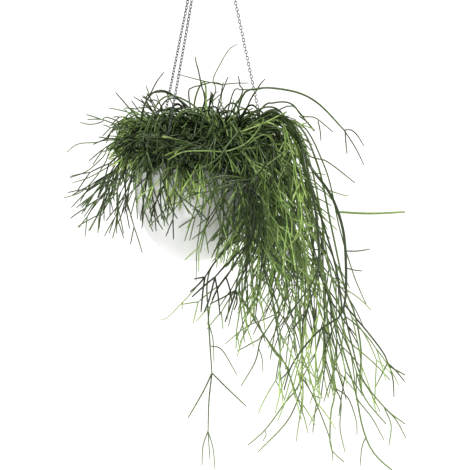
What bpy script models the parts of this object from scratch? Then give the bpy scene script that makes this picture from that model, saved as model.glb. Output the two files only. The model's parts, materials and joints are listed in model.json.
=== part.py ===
"""Mistletoe cactus in a white hanging pot on three fine chains.

The plant trails out of the pot on all sides and far down on its heavy side, +X, which pulls that side of
the pot a little lower. Units are metres, +Z is up, -Y is the front. The origin is the top of the hook's
bend, where it hangs.
"""

import math

import bmesh
import bpy
import numpy as np
from mathutils import Matrix, Vector

# Pot and where it hangs
RIM_DROP = 0.466  # from the hook's bend to the plane of the rim, along the pot's axis
TILT = math.radians(2.8)
POT_TURN = 2.3  # degrees that it is turned about its axis, seen from above
POT_RADIUS = 0.108
POT_DEPTH = 0.229
POT_STRAIGHT = 0.098  # depth of the nearly upright part of the wall
POT_WALL = 0.003
POT_FLARE = 0.002  # how much narrower the wall is at its foot than at the rim
FLAT_FOOT = 0.008
POT_STEPS = 30
SMOOTH_UP_TO = math.radians(40)  # sharper edges than this stay sharp

# Soil
SOIL_BELOW_RIM = 0.013
SOIL_MOUND = 0.007
SOIL_LUMP = 0.0015
SOIL_EDGE = 0.003  # how much lower its edge lies than its general level
GAP = 0.0003  # between pieces that touch

# Chains and their hooks
CHAIN_ANGLES = {"right": POT_TURN, "back_left": 120 + POT_TURN, "front_left": 240 + POT_TURN}
LINK_PITCH = 0.0125
LINK_WIDTH = 0.0042
LINK_WIRE = 0.0014
END_LINK_LENGTH = 0.0110
END_LINK_WIDTH = 0.0064
LINK_SPACING = 0.0022  # between the three top links side by side in the hook's eye
LINK_LEAN = 0.0004  # how far a leaning link's end slides along and over the eye's wire
HOOK_WIRE = 0.0026
HOOK_BEND = 0.0120  # centre of the wire to the centre of the bend
HOOK_ARC = (-35, 190)  # degrees from +X towards +Z
HOOK_SHANK = [(-0.0075, 0.0, -0.0205), (-0.0020, 0.0, -0.0270)]
EYE_BEND = 0.0060
EYE_DROP = 0.0420  # from the origin to the eye's centre
EYE_ARC = (100, 418)
EYE_NECK = 0.0035  # straight wire above the eye
RIM_HOOK_WIRE = 0.0016
RIM_EYE_BEND = 0.0026
RIM_HOOK_OUT = 0.0036  # from the wall to the wire that rises outside it
RIM_HOOK_IN = 0.0042  # from the inner wall to the hook's end inside the pot
RIM_EYE_ARC = (-105, -415)
CHAIN_FOOT = 0.0062  # wire of a chain's last link above the rim
HOLE_DEPTH = 0.009  # hole's centre below the rim
HOLE_RADIUS = 0.0016

# Plant
STEM_RADIUS = 0.0021  # corner radius of a three-sided stem
FORK_RADIUS = 0.0018
TIP_RADIUS = 0.0014
FORK_SPREAD = 0.47  # radians between a fork's limb and the stem's own way
FORK_DROOP = 0.14
TIP_DROOP = 0.20
FORK_ROOT = 0.0025  # how deep a limb starts inside the stem
STEM_PITCH = (28, 60)  # degrees above the level as a main stem leaves its crown
TO_RIM = 0.072  # droop times the cosine of the pitch, at which a main stem just clears the rim
FINE_STEP = 0.008  # between the points that a stem's curve is worked out at
CROWN_RADIUS = 0.0055
CROWN_TAPER = 0.001
CROWN_DEPTH = 0.035
CROWN_PROUD = 0.010  # where its stems start, above the soil's general level
CROWN_CAP = 0.004  # how much of it stands over that
CROWN_REACH = 0.055  # from the pot's axis to a root crown
SECTOR_GAP = 0.0042  # from a stem's centre to the edge of its spray's sector
CHAIN_GAP = 0.0065  # the same where a chain hangs on that edge
OVER_RIM = 0.0070  # from the rim or the wall to a stem's centre
OVER_SOIL = 0.0065
RIM_BAND = 0.020  # a stem no further than this under the rim is lifted over it
NEAREST = 0.018  # no stem comes nearer to the pot's axis than this
NEAR_RIM = 0.017  # a long stem whose first point is no further outside the rim grows from the crown
STRAIGHT_WITHIN = 0.0034  # how far a stem's few straight pieces may leave its curve
SEED = 11

SHOOTS = 2  # short stems of each spray that stand over the soil
SHOOT_TURN = 0.9
SHOOT_PITCH = (50, 80)
SHOOT_LENGTH = (0.050, 0.085)
SHOOT_DROOP = 0.10

# One row for each spray: its sector in degrees seen from above, the number of main stems, their least and
# greatest length, how far they run before they droop, and the lengths of its forks and of its tips.
SPRAYS = {
    "back_right": (35, 78, 4, (0.20, 0.34), 0.11, (0.060, 0.110), (0.030, 0.060)),
    "back": (78, 120 + POT_TURN, 3, (0.15, 0.24), 0.10, (0.045, 0.080), (0.025, 0.050)),
    "back_left": (120 + POT_TURN, 155, 4, (0.15, 0.24), 0.12, (0.045, 0.085), (0.025, 0.055)),
    "left": (155, 197, 6, (0.14, 0.25), 0.14, (0.045, 0.085), (0.030, 0.055)),
    "front_left": (197, 240 + POT_TURN, 5, (0.15, 0.25), 0.11, (0.045, 0.085), (0.030, 0.055)),
    "front": (240 + POT_TURN, 276, 5, (0.13, 0.20), 0.08, (0.040, 0.070), (0.025, 0.050)),
    "front_right": (276, 308, 5, (0.16, 0.30), 0.09, (0.060, 0.100), (0.030, 0.060)),
    "right_front": (308, 334, 5, (0.30, 0.58), 0.13, (0.070, 0.130), (0.035, 0.070)),
    "right": (334, 360 + POT_TURN, 5, (0.42, 0.66), 0.17, (0.080, 0.140), (0.040, 0.075)),
    "right_back": (POT_TURN, 35, 5, (0.32, 0.60), 0.16, (0.070, 0.130), (0.035, 0.070)),
}

# Long single stems of the photographed plant, as points in centimetres from the rim's centre. Each belongs to
# the spray named first. The first point of a branch lies on the stem before it.
LONG_STEMS = {
    "right": [
        [(8.0, -1.6, 6.2), (13.3, -2.0, 8.5), (17.6, -2.0, 7.6), (22.0, -2.0, 4.9), (25.5, -2.0, 0.9)],
        [(25.3, -2.1, 1.1), (26.9, -2.1, 0.6), (28.8, -2.2, -2.0)],
        [(25.45, -1.95, 1.0), (25.8, -1.9, -3.1)],
        [(26.7, -2.05, 0.72), (28.2, -1.8, -2.4), (28.9, -1.7, -5.4)],
        [
            (10.5, -2.6, 3.0), (17.6, -3.6, -0.4), (20.3, -4.0, -6.7), (24.6, -4.0, -14.8),
            (25.7, -4.0, -27.5), (29.9, -4.0, -35.6), (33.3, -4.0, -41.1), (36.0, -4.0, -42.7),
        ],
        [(24.3, -4.0, -13.6), (30.0, -4.2, -14.1), (36.5, -4.2, -13.8)],
        [(33.2, -4.05, -40.95), (34.4, -4.4, -43.5), (34.0, -4.8, -46.8)],
        [(33.05, -3.95, -40.7), (32.0, -4.4, -43.0), (30.7, -4.8, -45.2)],
    ],
    "front_right": [
        [
            (3.6, -11.6, 1.2), (6.8, -14.2, -8.0), (6.3, -15.0, -14.6), (4.0, -15.0, -19.5),
            (1.9, -15.0, -24.5), (1.9, -15.0, -34.5), (2.3, -15.0, -39.7),
        ],
        [(2.27, -15.02, -39.3), (0.6, -15.2, -43.4), (-1.9, -15.4, -47.7)],
        [(2.3, -15.0, -39.45), (4.6, -15.2, -42.0), (8.0, -15.4, -45.5)],
        [(2.31, -14.96, -39.6), (1.7, -14.8, -45.0), (1.6, -14.8, -50.2), (1.7, -14.8, -55.2)],
        [(1.62, -14.78, -49.9), (0.9, -14.8, -53.2), (0.5, -14.8, -56.2)],
        [(1.58, -14.82, -50.05), (2.3, -14.8, -53.6), (2.8, -14.8, -57.4)],
    ],
    "left": [
        [(-10.5, -0.6, 2.6), (-17.3, -1.6, -3.4), (-19.9, -2.2, -8.4), (-23.7, -2.6, -11.1)],
        [(-11.5, 0.0, 3.4), (-18.2, 0.2, 0.4), (-21.1, 0.2, -0.6), (-23.0, 0.2, -2.8)],
    ],
    "back_left": [
        [(-5.6, 4.4, 3.0), (-7.6, 5.6, 6.6), (-5.9, 6.6, 9.0)],
        [(-6.4, 5.2, 3.0), (-11.2, 7.4, 3.0), (-14.5, 8.6, 5.0)],
    ],
    "back": [
        [(-0.6, 5.0, 3.0), (0.6, 4.0, 7.0), (-0.4, 3.8, 11.6)],
        [(-1.4, 6.0, 2.0), (0.2, 6.4, 8.0), (2.6, 6.4, 12.5), (3.8, 6.4, 13.6)],
    ],
    "back_right": [
        [(5.0, 5.0, 3.0), (8.0, 6.2, 5.2), (10.6, 7.0, 8.0)],
    ],
}

COLOURS = {
    "pot": (0.86, 0.87, 0.85, 0.55, 0.0),
    "soil": (0.035, 0.024, 0.018, 0.95, 0.0),
    "steel": (0.62, 0.63, 0.65, 0.30, 1.0),
    "stem": (0.075, 0.16, 0.035, 0.55, 0.0),
}

POT_FRAME = Matrix.Rotation(TILT, 4, "Y") @ Matrix.Translation((0, 0, -RIM_DROP))
RIM_CENTRE = np.array(POT_FRAME.translation)


def clear_scene():
    for obj in list(bpy.data.objects):
        bpy.data.objects.remove(obj, do_unlink=True)


def new_collection(name):
    collection = bpy.data.collections.new(name)
    bpy.context.scene.collection.children.link(collection)
    return collection


def material(name):
    red, green, blue, roughness, metallic = COLOURS[name]
    made = bpy.data.materials.get(name) or bpy.data.materials.new(name)
    made.use_nodes = True
    shader = made.node_tree.nodes["Principled BSDF"]
    shader.inputs["Base Color"].default_value = (red, green, blue, 1)
    shader.inputs["Roughness"].default_value = roughness
    shader.inputs["Metallic"].default_value = metallic
    return made


def add_mesh(name, points, edges, faces, collection, finish=None):
    mesh = bpy.data.meshes.new(name)
    mesh.from_pydata([tuple(p) for p in points], edges, faces)
    obj = bpy.data.objects.new(name, mesh)
    collection.objects.link(obj)
    if finish:
        mesh.materials.append(material(finish))
    return obj


def turned(name, profile, collection, finish):
    """A profile of (radius, height) points turned round the pot's axis."""
    points = [(radius, 0, height) for radius, height in profile]
    edges = [(i, i + 1) for i in range(len(points) - 1)]
    obj = add_mesh(name, points, edges, [], collection, finish)
    screw = obj.modifiers.new("turn", "SCREW")
    screw.steps = screw.render_steps = POT_STEPS
    screw.use_merge_vertices = True
    screw.merge_threshold = 0.00001
    screw.use_smooth_shade = True
    return obj


def applied(obj):
    """The object with its modifiers made into its mesh."""
    bpy.context.view_layer.update()
    evaluated = obj.evaluated_get(bpy.context.evaluated_depsgraph_get())
    mesh = bpy.data.meshes.new_from_object(evaluated)
    obj.modifiers.clear()
    obj.data = mesh
    return obj


def boolean(obj, operation, solver, other=None, collection=None):
    modifier = obj.modifiers.new(operation.lower(), "BOOLEAN")
    modifier.operation = operation
    modifier.solver = solver
    if collection:
        modifier.operand_type = "COLLECTION"
        modifier.collection = collection
    else:
        modifier.object = other
    return applied(obj)


def hide_cutter(obj):
    obj.hide_render = True
    obj.display_type = "WIRE"


def wall(depth, inset=0.0):
    """Radius of the pot's outer wall at a depth below the rim: upright, then a quarter of an ellipse."""
    radius = POT_RADIUS - POT_FLARE * min(depth / POT_STRAIGHT, 1) - inset
    round_depth = POT_DEPTH - POT_STRAIGHT - inset
    share = max(depth - POT_STRAIGHT, 0) / round_depth
    return radius * math.sqrt(max(1 - share * share, 0))


def wall_rows(inset, rows_down, rows_round):
    """(radius, height) down the wall from the rim to the foot, spaced by angle where it rounds in."""
    straight = [POT_STRAIGHT * i / rows_down for i in range(1, rows_down)]
    round_depth = POT_DEPTH - POT_STRAIGHT - inset
    last = math.acos(FLAT_FOOT / POT_RADIUS)
    bent = [POT_STRAIGHT + round_depth * math.sin(last * i / rows_round) for i in range(rows_round + 1)]
    return [(wall(depth, inset), -depth) for depth in straight + bent]


def make_pot(parts, cutters):
    outer = wall_rows(0, 1, 6)
    inner = wall_rows(POT_WALL, 1, 4)
    lip = POT_WALL / 2
    rim = []
    for i in range(4):
        turn = math.pi * (1 - i / 3)
        rim.append((POT_RADIUS - lip + lip * math.cos(turn), -lip + lip * math.sin(turn)))
    foot = outer[-1][1]
    floor = inner[-1][1]
    profile = [(0, floor)] + inner[::-1] + rim + outer + [(0, foot)]
    pot = turned("hanging_pot", profile, parts, "pot")
    for name, angle in CHAIN_ANGLES.items():
        turn = Matrix.Rotation(math.radians(angle), 4, "Z")
        bpy.ops.mesh.primitive_cylinder_add(vertices=10, radius=HOLE_RADIUS, depth=8 * POT_WALL)
        cutter = bpy.context.object
        cutter.name = "hole_" + name
        for holder in list(cutter.users_collection):
            holder.objects.unlink(cutter)
        cutters.objects.link(cutter)
        lay = Matrix.Translation((POT_RADIUS, 0, -HOLE_DEPTH)) @ Matrix.Rotation(math.pi / 2, 4, "Y")
        cutter.matrix_world = turn @ lay
        hide_cutter(cutter)
        boolean(pot, "DIFFERENCE", "EXACT", other=cutter)
    pot.matrix_world = POT_FRAME
    pot.data.shade_smooth()
    pot.data.set_sharp_from_angle(angle=SMOOTH_UP_TO)


def tube(points, radii, sides, turn=0.0, closed=False):
    """Vertices and faces of a tube of few sides along a path, with flat ends unless it closes on itself."""
    path = np.asarray(points, float)
    radii = np.broadcast_to(np.asarray(radii, float), (len(path),))
    before = np.roll(path, 1, axis=0)
    after = np.roll(path, -1, axis=0)
    if not closed:
        before[0], after[-1] = path[0], path[-1]
    along = after - before
    along /= np.linalg.norm(along, axis=1)[:, None]
    side = np.cross(along[0], (0.31, 0.87, 0.39))
    angles = turn + np.arange(sides) * 2 * math.pi / sides
    vertices, faces = [], []
    for centre, radius, axis in zip(path, radii, along):
        side = side - axis * side.dot(axis)
        side /= np.linalg.norm(side)
        third = np.cross(axis, side)
        vertices += [centre + radius * (math.cos(a) * side + math.sin(a) * third) for a in angles]
    rings = len(path)
    for ring in range(rings if closed else rings - 1):
        here, there = ring * sides, (ring + 1) % rings * sides
        for k in range(sides):
            next_k = (k + 1) % sides
            faces.append((here + k, here + next_k, there + next_k, there + k))
    if not closed:
        faces.append(tuple(range(sides))[::-1])
        faces.append(tuple(range((rings - 1) * sides, rings * sides)))
    return vertices, faces


def round_wire(name, points, wire, sides, collection):
    vertices, faces = tube(points, wire / 2, sides)
    obj = add_mesh(name, vertices, [], faces, collection, "steel")
    obj.data.shade_smooth()
    obj.data.set_sharp_from_angle(angle=SMOOTH_UP_TO)
    return obj


def arc_points(centre, radius, start, end, count):
    """Points in the XZ plane on an arc, angles in degrees from +X towards +Z."""
    angles = np.radians(np.linspace(start, end, count))
    return [(centre[0] + radius * math.cos(a), 0.0, centre[1] + radius * math.sin(a)) for a in angles]


def make_hanger_hook(parts):
    """A question mark of wire with its eye below; the bend's inner top is the origin."""
    bend_centre = (0.0, HOOK_WIRE / 2 - HOOK_BEND)
    bend = arc_points(bend_centre, HOOK_BEND, *HOOK_ARC, 13)
    neck = [(0.0, 0.0, -EYE_DROP + EYE_BEND + EYE_NECK)]
    eye = arc_points((0.0, -EYE_DROP), EYE_BEND, *EYE_ARC, 15)
    round_wire("hanger_hook", bend + HOOK_SHANK + neck + eye, HOOK_WIRE, 6, parts)


def oval(length, width, wire, count):
    """Centre line of a link along Z in the XZ plane: two half circles joined by straight sides."""
    radius = (width - wire) / 2
    half = (length - wire) / 2 - radius
    points = []
    for i in range(count):
        angle = 2 * math.pi * (i + 0.5) / count
        lift = half if math.sin(angle) > 0 else -half
        points.append((radius * math.cos(angle), 0.0, radius * math.sin(angle) + lift))
    return points


def chain_ends(name, angle):
    """Where a chain's first link hangs in the hook's eye and where its last link meets the rim's hook."""
    spot = LINK_SPACING * {"right": 1, "back_left": -1, "front_left": 0}[name]
    eye_floor = -EYE_DROP - math.sqrt(EYE_BEND**2 - spot**2)
    lean = LINK_LEAN * math.sin(math.radians(angle))
    over_eye = HOOK_WIRE / 2 + GAP + LINK_WIRE / 2 + abs(lean) / 2
    top = Vector((spot, -lean, eye_floor + over_eye))
    turn = Matrix.Rotation(math.radians(angle), 4, "Z")
    bottom = POT_FRAME @ turn @ Vector((POT_RADIUS + RIM_HOOK_OUT, 0, CHAIN_FOOT))
    return top, bottom


def make_chain(name, angle, parts):
    """One body: flat lobes, across and along in turn, stand for the links; both end links are open."""
    top, bottom = chain_ends(name, angle)
    down = (bottom - top).normalized()
    across = Vector((0, 1, 0))
    across = (across - down * across.dot(down)).normalized()
    along = down.cross(across)
    span = (bottom - top).length
    first = END_LINK_LENGTH - LINK_WIRE
    run = span - 2 * first
    links = round(run / LINK_PITCH)
    links += links % 2
    pitch = run / links
    vertices, faces = [], []
    rows = []
    for i in range(links + 1):
        rows.append((first + i * pitch, LINK_WIRE, LINK_WIRE))
        if i < links:
            wide, thin = (LINK_WIDTH, LINK_WIRE) if i % 2 else (LINK_WIRE, LINK_WIDTH)
            rows.append((first + (i + 0.5) * pitch, wide, thin))
    rows[0] = (first - LINK_WIRE, LINK_WIRE, LINK_WIRE)
    rows[-1] = (first + run + LINK_WIRE, LINK_WIRE, LINK_WIRE)
    for distance, wide, thin in rows:
        centre = top + down * distance
        for a, b in ((1, 0), (0, 1), (-1, 0), (0, -1)):
            vertices.append(centre + across * (a * wide / 2) + along * (b * thin / 2))
    for row in range(len(rows) - 1):
        for k in range(4):
            here, there, step = row * 4, row * 4 + 4, (k + 1) % 4
            faces.append((here + k, there + k, there + step, here + step))
    faces.append((0, 1, 2, 3))
    faces.append(tuple(range(len(vertices) - 4, len(vertices)))[::-1])
    body = add_mesh("chain_" + name, vertices, [], faces, parts, "steel")
    ends = new_collection("chain_ends")
    turn = math.radians(angle)
    tangent = POT_FRAME.to_3x3() @ Vector((-math.sin(turn), math.cos(turn), 0))
    ends_of_chain = ((top + down * (first / 2), across), (bottom - down * (first / 2), tangent))
    for centre, flat in ends_of_chain:
        flat = (flat - down * flat.dot(down)).normalized()
        line = [
            centre + flat * x + down * -z
            for x, _, z in oval(END_LINK_LENGTH, END_LINK_WIDTH, LINK_WIRE, 8)
        ]
        ring_vertices, ring_faces = tube(line, LINK_WIRE / 2, 4, closed=True)
        add_mesh("end_link", ring_vertices, [], ring_faces, ends)
    fuse(body, ends)


def recalculated(obj):
    """Makes its faces triangles that point out of their closed body."""
    edit = bmesh.new()
    edit.from_mesh(obj.data)
    bmesh.ops.recalc_face_normals(edit, faces=edit.faces)
    bmesh.ops.triangulate(edit, faces=edit.faces)
    edit.to_mesh(obj.data)
    edit.free()


def keep_main_body(obj):
    """Drops loose scraps and the skins of sealed hollows: all but the body with the most faces."""
    edit = bmesh.new()
    edit.from_mesh(obj.data)
    bmesh.ops.triangulate(edit, faces=edit.faces)
    left, bodies = set(edit.faces), []
    while left:
        body, todo = set(), [left.pop()]
        while todo:
            face = todo.pop()
            body.add(face)
            for edge in face.edges:
                for other in edge.link_faces:
                    if other in left:
                        left.discard(other)
                        todo.append(other)
        bodies.append(body)
    main = max(bodies, key=len)
    spare = [face for body in bodies if body is not main for face in body]
    bmesh.ops.delete(edit, geom=spare, context="FACES")
    edit.to_mesh(obj.data)
    edit.free()


def fuse(obj, collection):
    """Joins all that the collection holds to the object by one union, and removes the collection."""
    for piece in [obj, *collection.objects]:
        recalculated(piece)
    boolean(obj, "UNION", "MANIFOLD", collection=collection)
    for piece in list(collection.objects):
        bpy.data.objects.remove(piece, do_unlink=True)
    bpy.data.collections.remove(collection)
    keep_main_body(obj)


def make_rim_hook(name, angle, parts):
    """Wire out through the hole in the wall, turned up and closed in an eye round the chain's end."""
    inside = POT_RADIUS - POT_WALL - RIM_HOOK_IN
    outside = POT_RADIUS + RIM_HOOK_OUT
    eye_centre = CHAIN_FOOT + LINK_WIRE / 2 + GAP + RIM_HOOK_WIRE / 2 - RIM_EYE_BEND
    line = [
        (inside, 0, -HOLE_DEPTH + 0.0030), (inside + 0.0006, 0, -HOLE_DEPTH + 0.0010),
        (inside + 0.0022, 0, -HOLE_DEPTH), (POT_RADIUS + 0.0012, 0, -HOLE_DEPTH),
        (outside - 0.0006, 0, -HOLE_DEPTH + 0.0010), (outside, 0, -HOLE_DEPTH + 0.0032),
        (outside, 0, eye_centre - RIM_EYE_BEND - 0.0012),
    ]
    line += arc_points((outside, eye_centre), RIM_EYE_BEND, *RIM_EYE_ARC, 11)
    obj = round_wire("rim_hook_" + name, line, RIM_HOOK_WIRE, 5, parts)
    obj.matrix_world = POT_FRAME @ Matrix.Rotation(math.radians(angle), 4, "Z")


def crown_spot(spray):
    low, high = SPRAYS[spray][:2]
    angle = math.radians((low + high) / 2)
    return Vector((CROWN_REACH * math.cos(angle), CROWN_REACH * math.sin(angle), -SOIL_BELOW_RIM))


def prism(name, radius, top_radius, low, high, spot, collection):
    """A six-sided peg upright in the pot's frame."""
    bpy.ops.mesh.primitive_cone_add(vertices=6, radius1=radius, radius2=top_radius, depth=high - low)
    obj = bpy.context.object
    obj.name = name
    for holder in list(obj.users_collection):
        holder.objects.unlink(obj)
    collection.objects.link(obj)
    obj.data.transform(POT_FRAME @ Matrix.Translation(spot + Vector((0, 0, (low + high) / 2))))
    return obj


def make_soil(parts, cutters):
    """Fills the pot to just under its rim, mounded and a little lumpy, with a hole for each root crown."""
    skin = wall_rows(POT_WALL + GAP, 1, 4)
    edge_depth = SOIL_BELOW_RIM + SOIL_EDGE
    edge = wall(edge_depth, POT_WALL + GAP)
    tops = []
    for share in (0.0, 0.30, 0.66):
        tops.append((edge * share, -SOIL_BELOW_RIM + SOIL_MOUND * (1 - share**2)))
    profile = tops + [(edge, -edge_depth)] + skin + [(0, skin[-1][1])]
    profile = [point for point in profile if point[1] > -POT_DEPTH + POT_WALL]
    soil = applied(turned("soil", profile, parts, "soil"))
    for vertex in soil.data.vertices:
        x, y, z = vertex.co
        if z > -edge_depth + GAP:
            vertex.co.z += SOIL_LUMP * math.sin(95 * x + 1) * math.cos(110 * y)
    soil.data.transform(POT_FRAME)
    for spray in SPRAYS:
        spot = crown_spot(spray)
        radius = CROWN_RADIUS + 2 * GAP
        hole = prism("hole_" + spray, radius, radius, -CROWN_DEPTH - GAP, CROWN_DEPTH, spot, cutters)
        hide_cutter(hole)
        boolean(soil, "DIFFERENCE", "EXACT", other=hole)
    soil.data.shade_smooth()
    soil.data.set_sharp_from_angle(angle=SMOOTH_UP_TO)


class Sector:
    """The wedge of space round the pot's axis that one spray keeps to."""

    def __init__(self, spray):
        self.low, self.high = (math.radians(a) for a in SPRAYS[spray][:2])
        chains = [math.radians(a + turn) for a in CHAIN_ANGLES.values() for turn in (0, 360)]
        self.low_gap = CHAIN_GAP if any(abs(self.low - a) < 0.01 for a in chains) else SECTOR_GAP
        self.high_gap = CHAIN_GAP if any(abs(self.high - a) < 0.01 for a in chains) else SECTOR_GAP

    def clear(self, point):
        """The point moved out of the pot and its rim, and into the wedge."""
        x, y, z = (float(v) for v in point - RIM_CENTRE)
        reach, angle = math.hypot(x, y), math.atan2(y, x) % (2 * math.pi)
        middle = (self.low + self.high) / 2
        angle = middle + (angle - middle + math.pi) % (2 * math.pi) - math.pi
        reach = max(reach, NEAREST)
        low = self.low + math.asin(min(self.low_gap / reach, 0.9))
        high = self.high - math.asin(min(self.high_gap / reach, 0.9))
        angle = middle if low > high else min(max(angle, low), high)
        over = z + math.tan(TILT) * reach * math.cos(angle)
        if POT_RADIUS - POT_WALL - OVER_RIM < reach < POT_RADIUS + OVER_RIM and over < OVER_RIM:
            if over > -RIM_BAND:
                z += OVER_RIM - over
            else:
                reach = POT_RADIUS + OVER_RIM
        elif reach < POT_RADIUS:
            ground = SOIL_MOUND * (1 - (reach / POT_RADIUS) ** 2) - SOIL_BELOW_RIM
            z += max(ground + OVER_SOIL - over, 0)
        return RIM_CENTRE + np.array((reach * math.cos(angle), reach * math.sin(angle), z))


def stem_path(start, heading, length, droop):
    """The stem sets out along its heading, and the share of straight down grows with the length run.

    Its direction is heading times exp(-s / droop) plus down times the rest, s being the length run.
    """
    steps = max(2, round(length / FINE_STEP))
    points, place = [np.array(start)], np.array(start)
    for i in range(steps):
        kept = math.exp(-(i + 0.5) * length / steps / droop)
        way = np.asarray(heading) * kept + np.array((0, 0, -1)) * (1 - kept)
        place = place + way / np.linalg.norm(way) * length / steps
        points.append(place)
    return points


def few_points(points):
    """Points whose straight pieces stay close to the curve: both ends, and the farthest off in turn."""
    first, last = points[0], points[-1]
    chord = (last - first) / np.linalg.norm(last - first)
    off = [np.linalg.norm((p - first) - chord * np.dot(p - first, chord)) for p in points]
    far = int(np.argmax(off))
    if off[far] < STRAIGHT_WITHIN:
        return [first, last]
    return few_points(points[: far + 1])[:-1] + few_points(points[far:])


def forked(rng, heading, count, spread):
    """Headings spread evenly round the one that they fork from."""
    side = np.cross(heading, rng.normal(size=3))
    side /= np.linalg.norm(side)
    third = np.cross(heading, side)
    first = rng.uniform(0, 2 * math.pi)
    ways = []
    for i in range(count):
        angle = first + i * 2 * math.pi / count + rng.uniform(-0.4, 0.4)
        lean = spread * rng.uniform(0.7, 1.2)
        way = heading * math.cos(lean) + (side * math.cos(angle) + third * math.sin(angle)) * math.sin(lean)
        ways.append(way / np.linalg.norm(way))
    return ways


def add_stem(points, radius, tip_radius, rng, collection):
    radii = np.linspace(radius, tip_radius, len(points))
    vertices, faces = tube(points, radii, 3, turn=rng.uniform(0, 2))
    add_mesh("stem", vertices, [], faces, collection)


def grow(rng, sector, start, heading, spans, radius, pieces):
    """A limb that bends at each fork and runs on to a tip; the other limb of a fork grows the same way."""
    path = [np.array(start)]
    others = []
    for level, (length, droop) in enumerate(spans):
        curve = stem_path(path[-1], heading, length, droop)
        path += few_points([path[-1], *(sector.clear(p) for p in curve[1:])])[1:]
        if level + 1 == len(spans):
            break
        way = (path[-1] - path[-2]) / np.linalg.norm(path[-1] - path[-2])
        heading, second = forked(rng, way, 2, FORK_SPREAD)
        rest = [(reach * rng.uniform(0.75, 1.2), bend) for reach, bend in spans[level + 1 :]]
        others.append((path[-1] - way * FORK_ROOT, second, rest))
    thin = TIP_RADIUS if len(spans) < 3 else TIP_RADIUS * 0.9
    add_stem(path, radius, thin, rng, pieces)
    for root, way, rest in others:
        grow(rng, sector, root, way, rest, FORK_RADIUS if len(rest) > 1 else TIP_RADIUS, pieces)


def make_spray(name, number, parts):
    """A root crown with its main stems, each forking at its end and again in short tips."""
    low, high, stems, lengths, droop, fork_lengths, tip_lengths = SPRAYS[name]
    rng = np.random.default_rng(SEED + number)
    sector = Sector(name)
    spot = crown_spot(name)
    foot_radius = CROWN_RADIUS - CROWN_TAPER
    head = CROWN_PROUD + CROWN_CAP
    crown = prism("spray_" + name, foot_radius, CROWN_RADIUS, -CROWN_DEPTH, head, spot, parts)
    crown.data.materials.append(material("stem"))
    top = np.array(POT_FRAME @ (spot + Vector((0, 0, CROWN_PROUD))))
    pieces = new_collection("stems")
    for i in range(stems):
        bearing = math.radians(low + (high - low) * (i + rng.uniform(0.2, 0.8)) / stems)
        pitch = math.radians(rng.uniform(*STEM_PITCH))
        level = np.array((math.cos(bearing), math.sin(bearing), 0))
        heading = level * math.cos(pitch) + np.array((0, 0, math.sin(pitch)))
        round_crown = 2 * math.pi * i / stems
        root = top + CROWN_RADIUS * 0.55 * np.array((math.cos(round_crown), math.sin(round_crown), 0))
        spans = [
            (rng.uniform(*lengths), max(droop * rng.uniform(0.6, 1.25), TO_RIM / math.cos(pitch))),
            (rng.uniform(*fork_lengths), FORK_DROOP),
            (rng.uniform(*tip_lengths), TIP_DROOP),
        ]
        grow(rng, sector, root, heading, spans, STEM_RADIUS, pieces)
    for i in range(SHOOTS):
        bearing = math.radians(rng.uniform(low, high)) + (1 - 2 * (i % 2)) * SHOOT_TURN
        pitch = math.radians(rng.uniform(*SHOOT_PITCH))
        level = np.array((math.cos(bearing), math.sin(bearing), 0))
        heading = level * math.cos(pitch) + np.array((0, 0, math.sin(pitch)))
        spans = [(rng.uniform(*SHOOT_LENGTH), SHOOT_DROOP)]
        grow(rng, sector, top, heading, spans, STEM_RADIUS, pieces)
    rooted = False
    for knots in LONG_STEMS.get(name, []):
        places = [RIM_CENTRE + np.array(p) / 100 for p in knots]
        if not rooted or np.linalg.norm(places[0] - RIM_CENTRE) < POT_RADIUS + NEAR_RIM:
            places = [top] + places
        rooted = True
        add_stem(places, STEM_RADIUS, TIP_RADIUS, rng, pieces)
    fuse(crown, pieces)


def main():
    clear_scene()
    parts = new_collection("mistletoe_cactus")
    cutters = new_collection("cutters")
    make_pot(parts, cutters)
    make_soil(parts, cutters)
    make_hanger_hook(parts)
    for name, angle in CHAIN_ANGLES.items():
        make_chain(name, angle, parts)
        make_rim_hook(name, angle, parts)
    for number, name in enumerate(SPRAYS):
        make_spray(name, number, parts)
    bpy.context.view_layer.update()


main()
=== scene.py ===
"""Mistletoe cactus in a white hanging pot on three fine chains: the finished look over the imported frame.

Units are metres, +Z is up, -Y is the front, and the origin is the top of the hook's bend. Every new piece is
a surface worked out as whole arrays: a pot turned from its profile, wires and stems carried along their
paths.
"""

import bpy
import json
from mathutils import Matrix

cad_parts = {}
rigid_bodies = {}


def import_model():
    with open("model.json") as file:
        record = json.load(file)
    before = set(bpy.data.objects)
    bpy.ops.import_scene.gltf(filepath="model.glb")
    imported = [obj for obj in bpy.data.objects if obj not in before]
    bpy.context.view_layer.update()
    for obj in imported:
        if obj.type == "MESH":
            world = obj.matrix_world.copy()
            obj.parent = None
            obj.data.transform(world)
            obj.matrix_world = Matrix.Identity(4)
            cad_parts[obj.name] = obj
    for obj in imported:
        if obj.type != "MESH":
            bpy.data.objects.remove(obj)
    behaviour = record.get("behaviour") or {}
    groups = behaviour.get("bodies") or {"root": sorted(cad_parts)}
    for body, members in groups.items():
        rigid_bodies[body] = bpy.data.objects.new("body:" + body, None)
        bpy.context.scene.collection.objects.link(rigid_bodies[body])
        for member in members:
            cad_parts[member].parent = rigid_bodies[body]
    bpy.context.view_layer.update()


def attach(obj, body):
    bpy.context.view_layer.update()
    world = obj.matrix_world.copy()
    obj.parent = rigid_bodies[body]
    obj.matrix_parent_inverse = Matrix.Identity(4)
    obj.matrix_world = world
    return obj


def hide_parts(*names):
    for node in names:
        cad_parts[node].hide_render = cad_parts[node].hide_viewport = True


bl_info = {
    "name": "Mistletoe cactus in a hanging pot",
    "version": (1, 0, 0),
    "blender": (4, 5, 0),
    "location": "3D View > Sidebar > Plant",
    "description": "Builds the pot, chains, soil and trailing stems of a mistletoe cactus",
    "category": "Add Mesh",
}

import json
import math
from dataclasses import dataclass

import bpy
import numpy as np
from mathutils import Matrix, Vector

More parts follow.
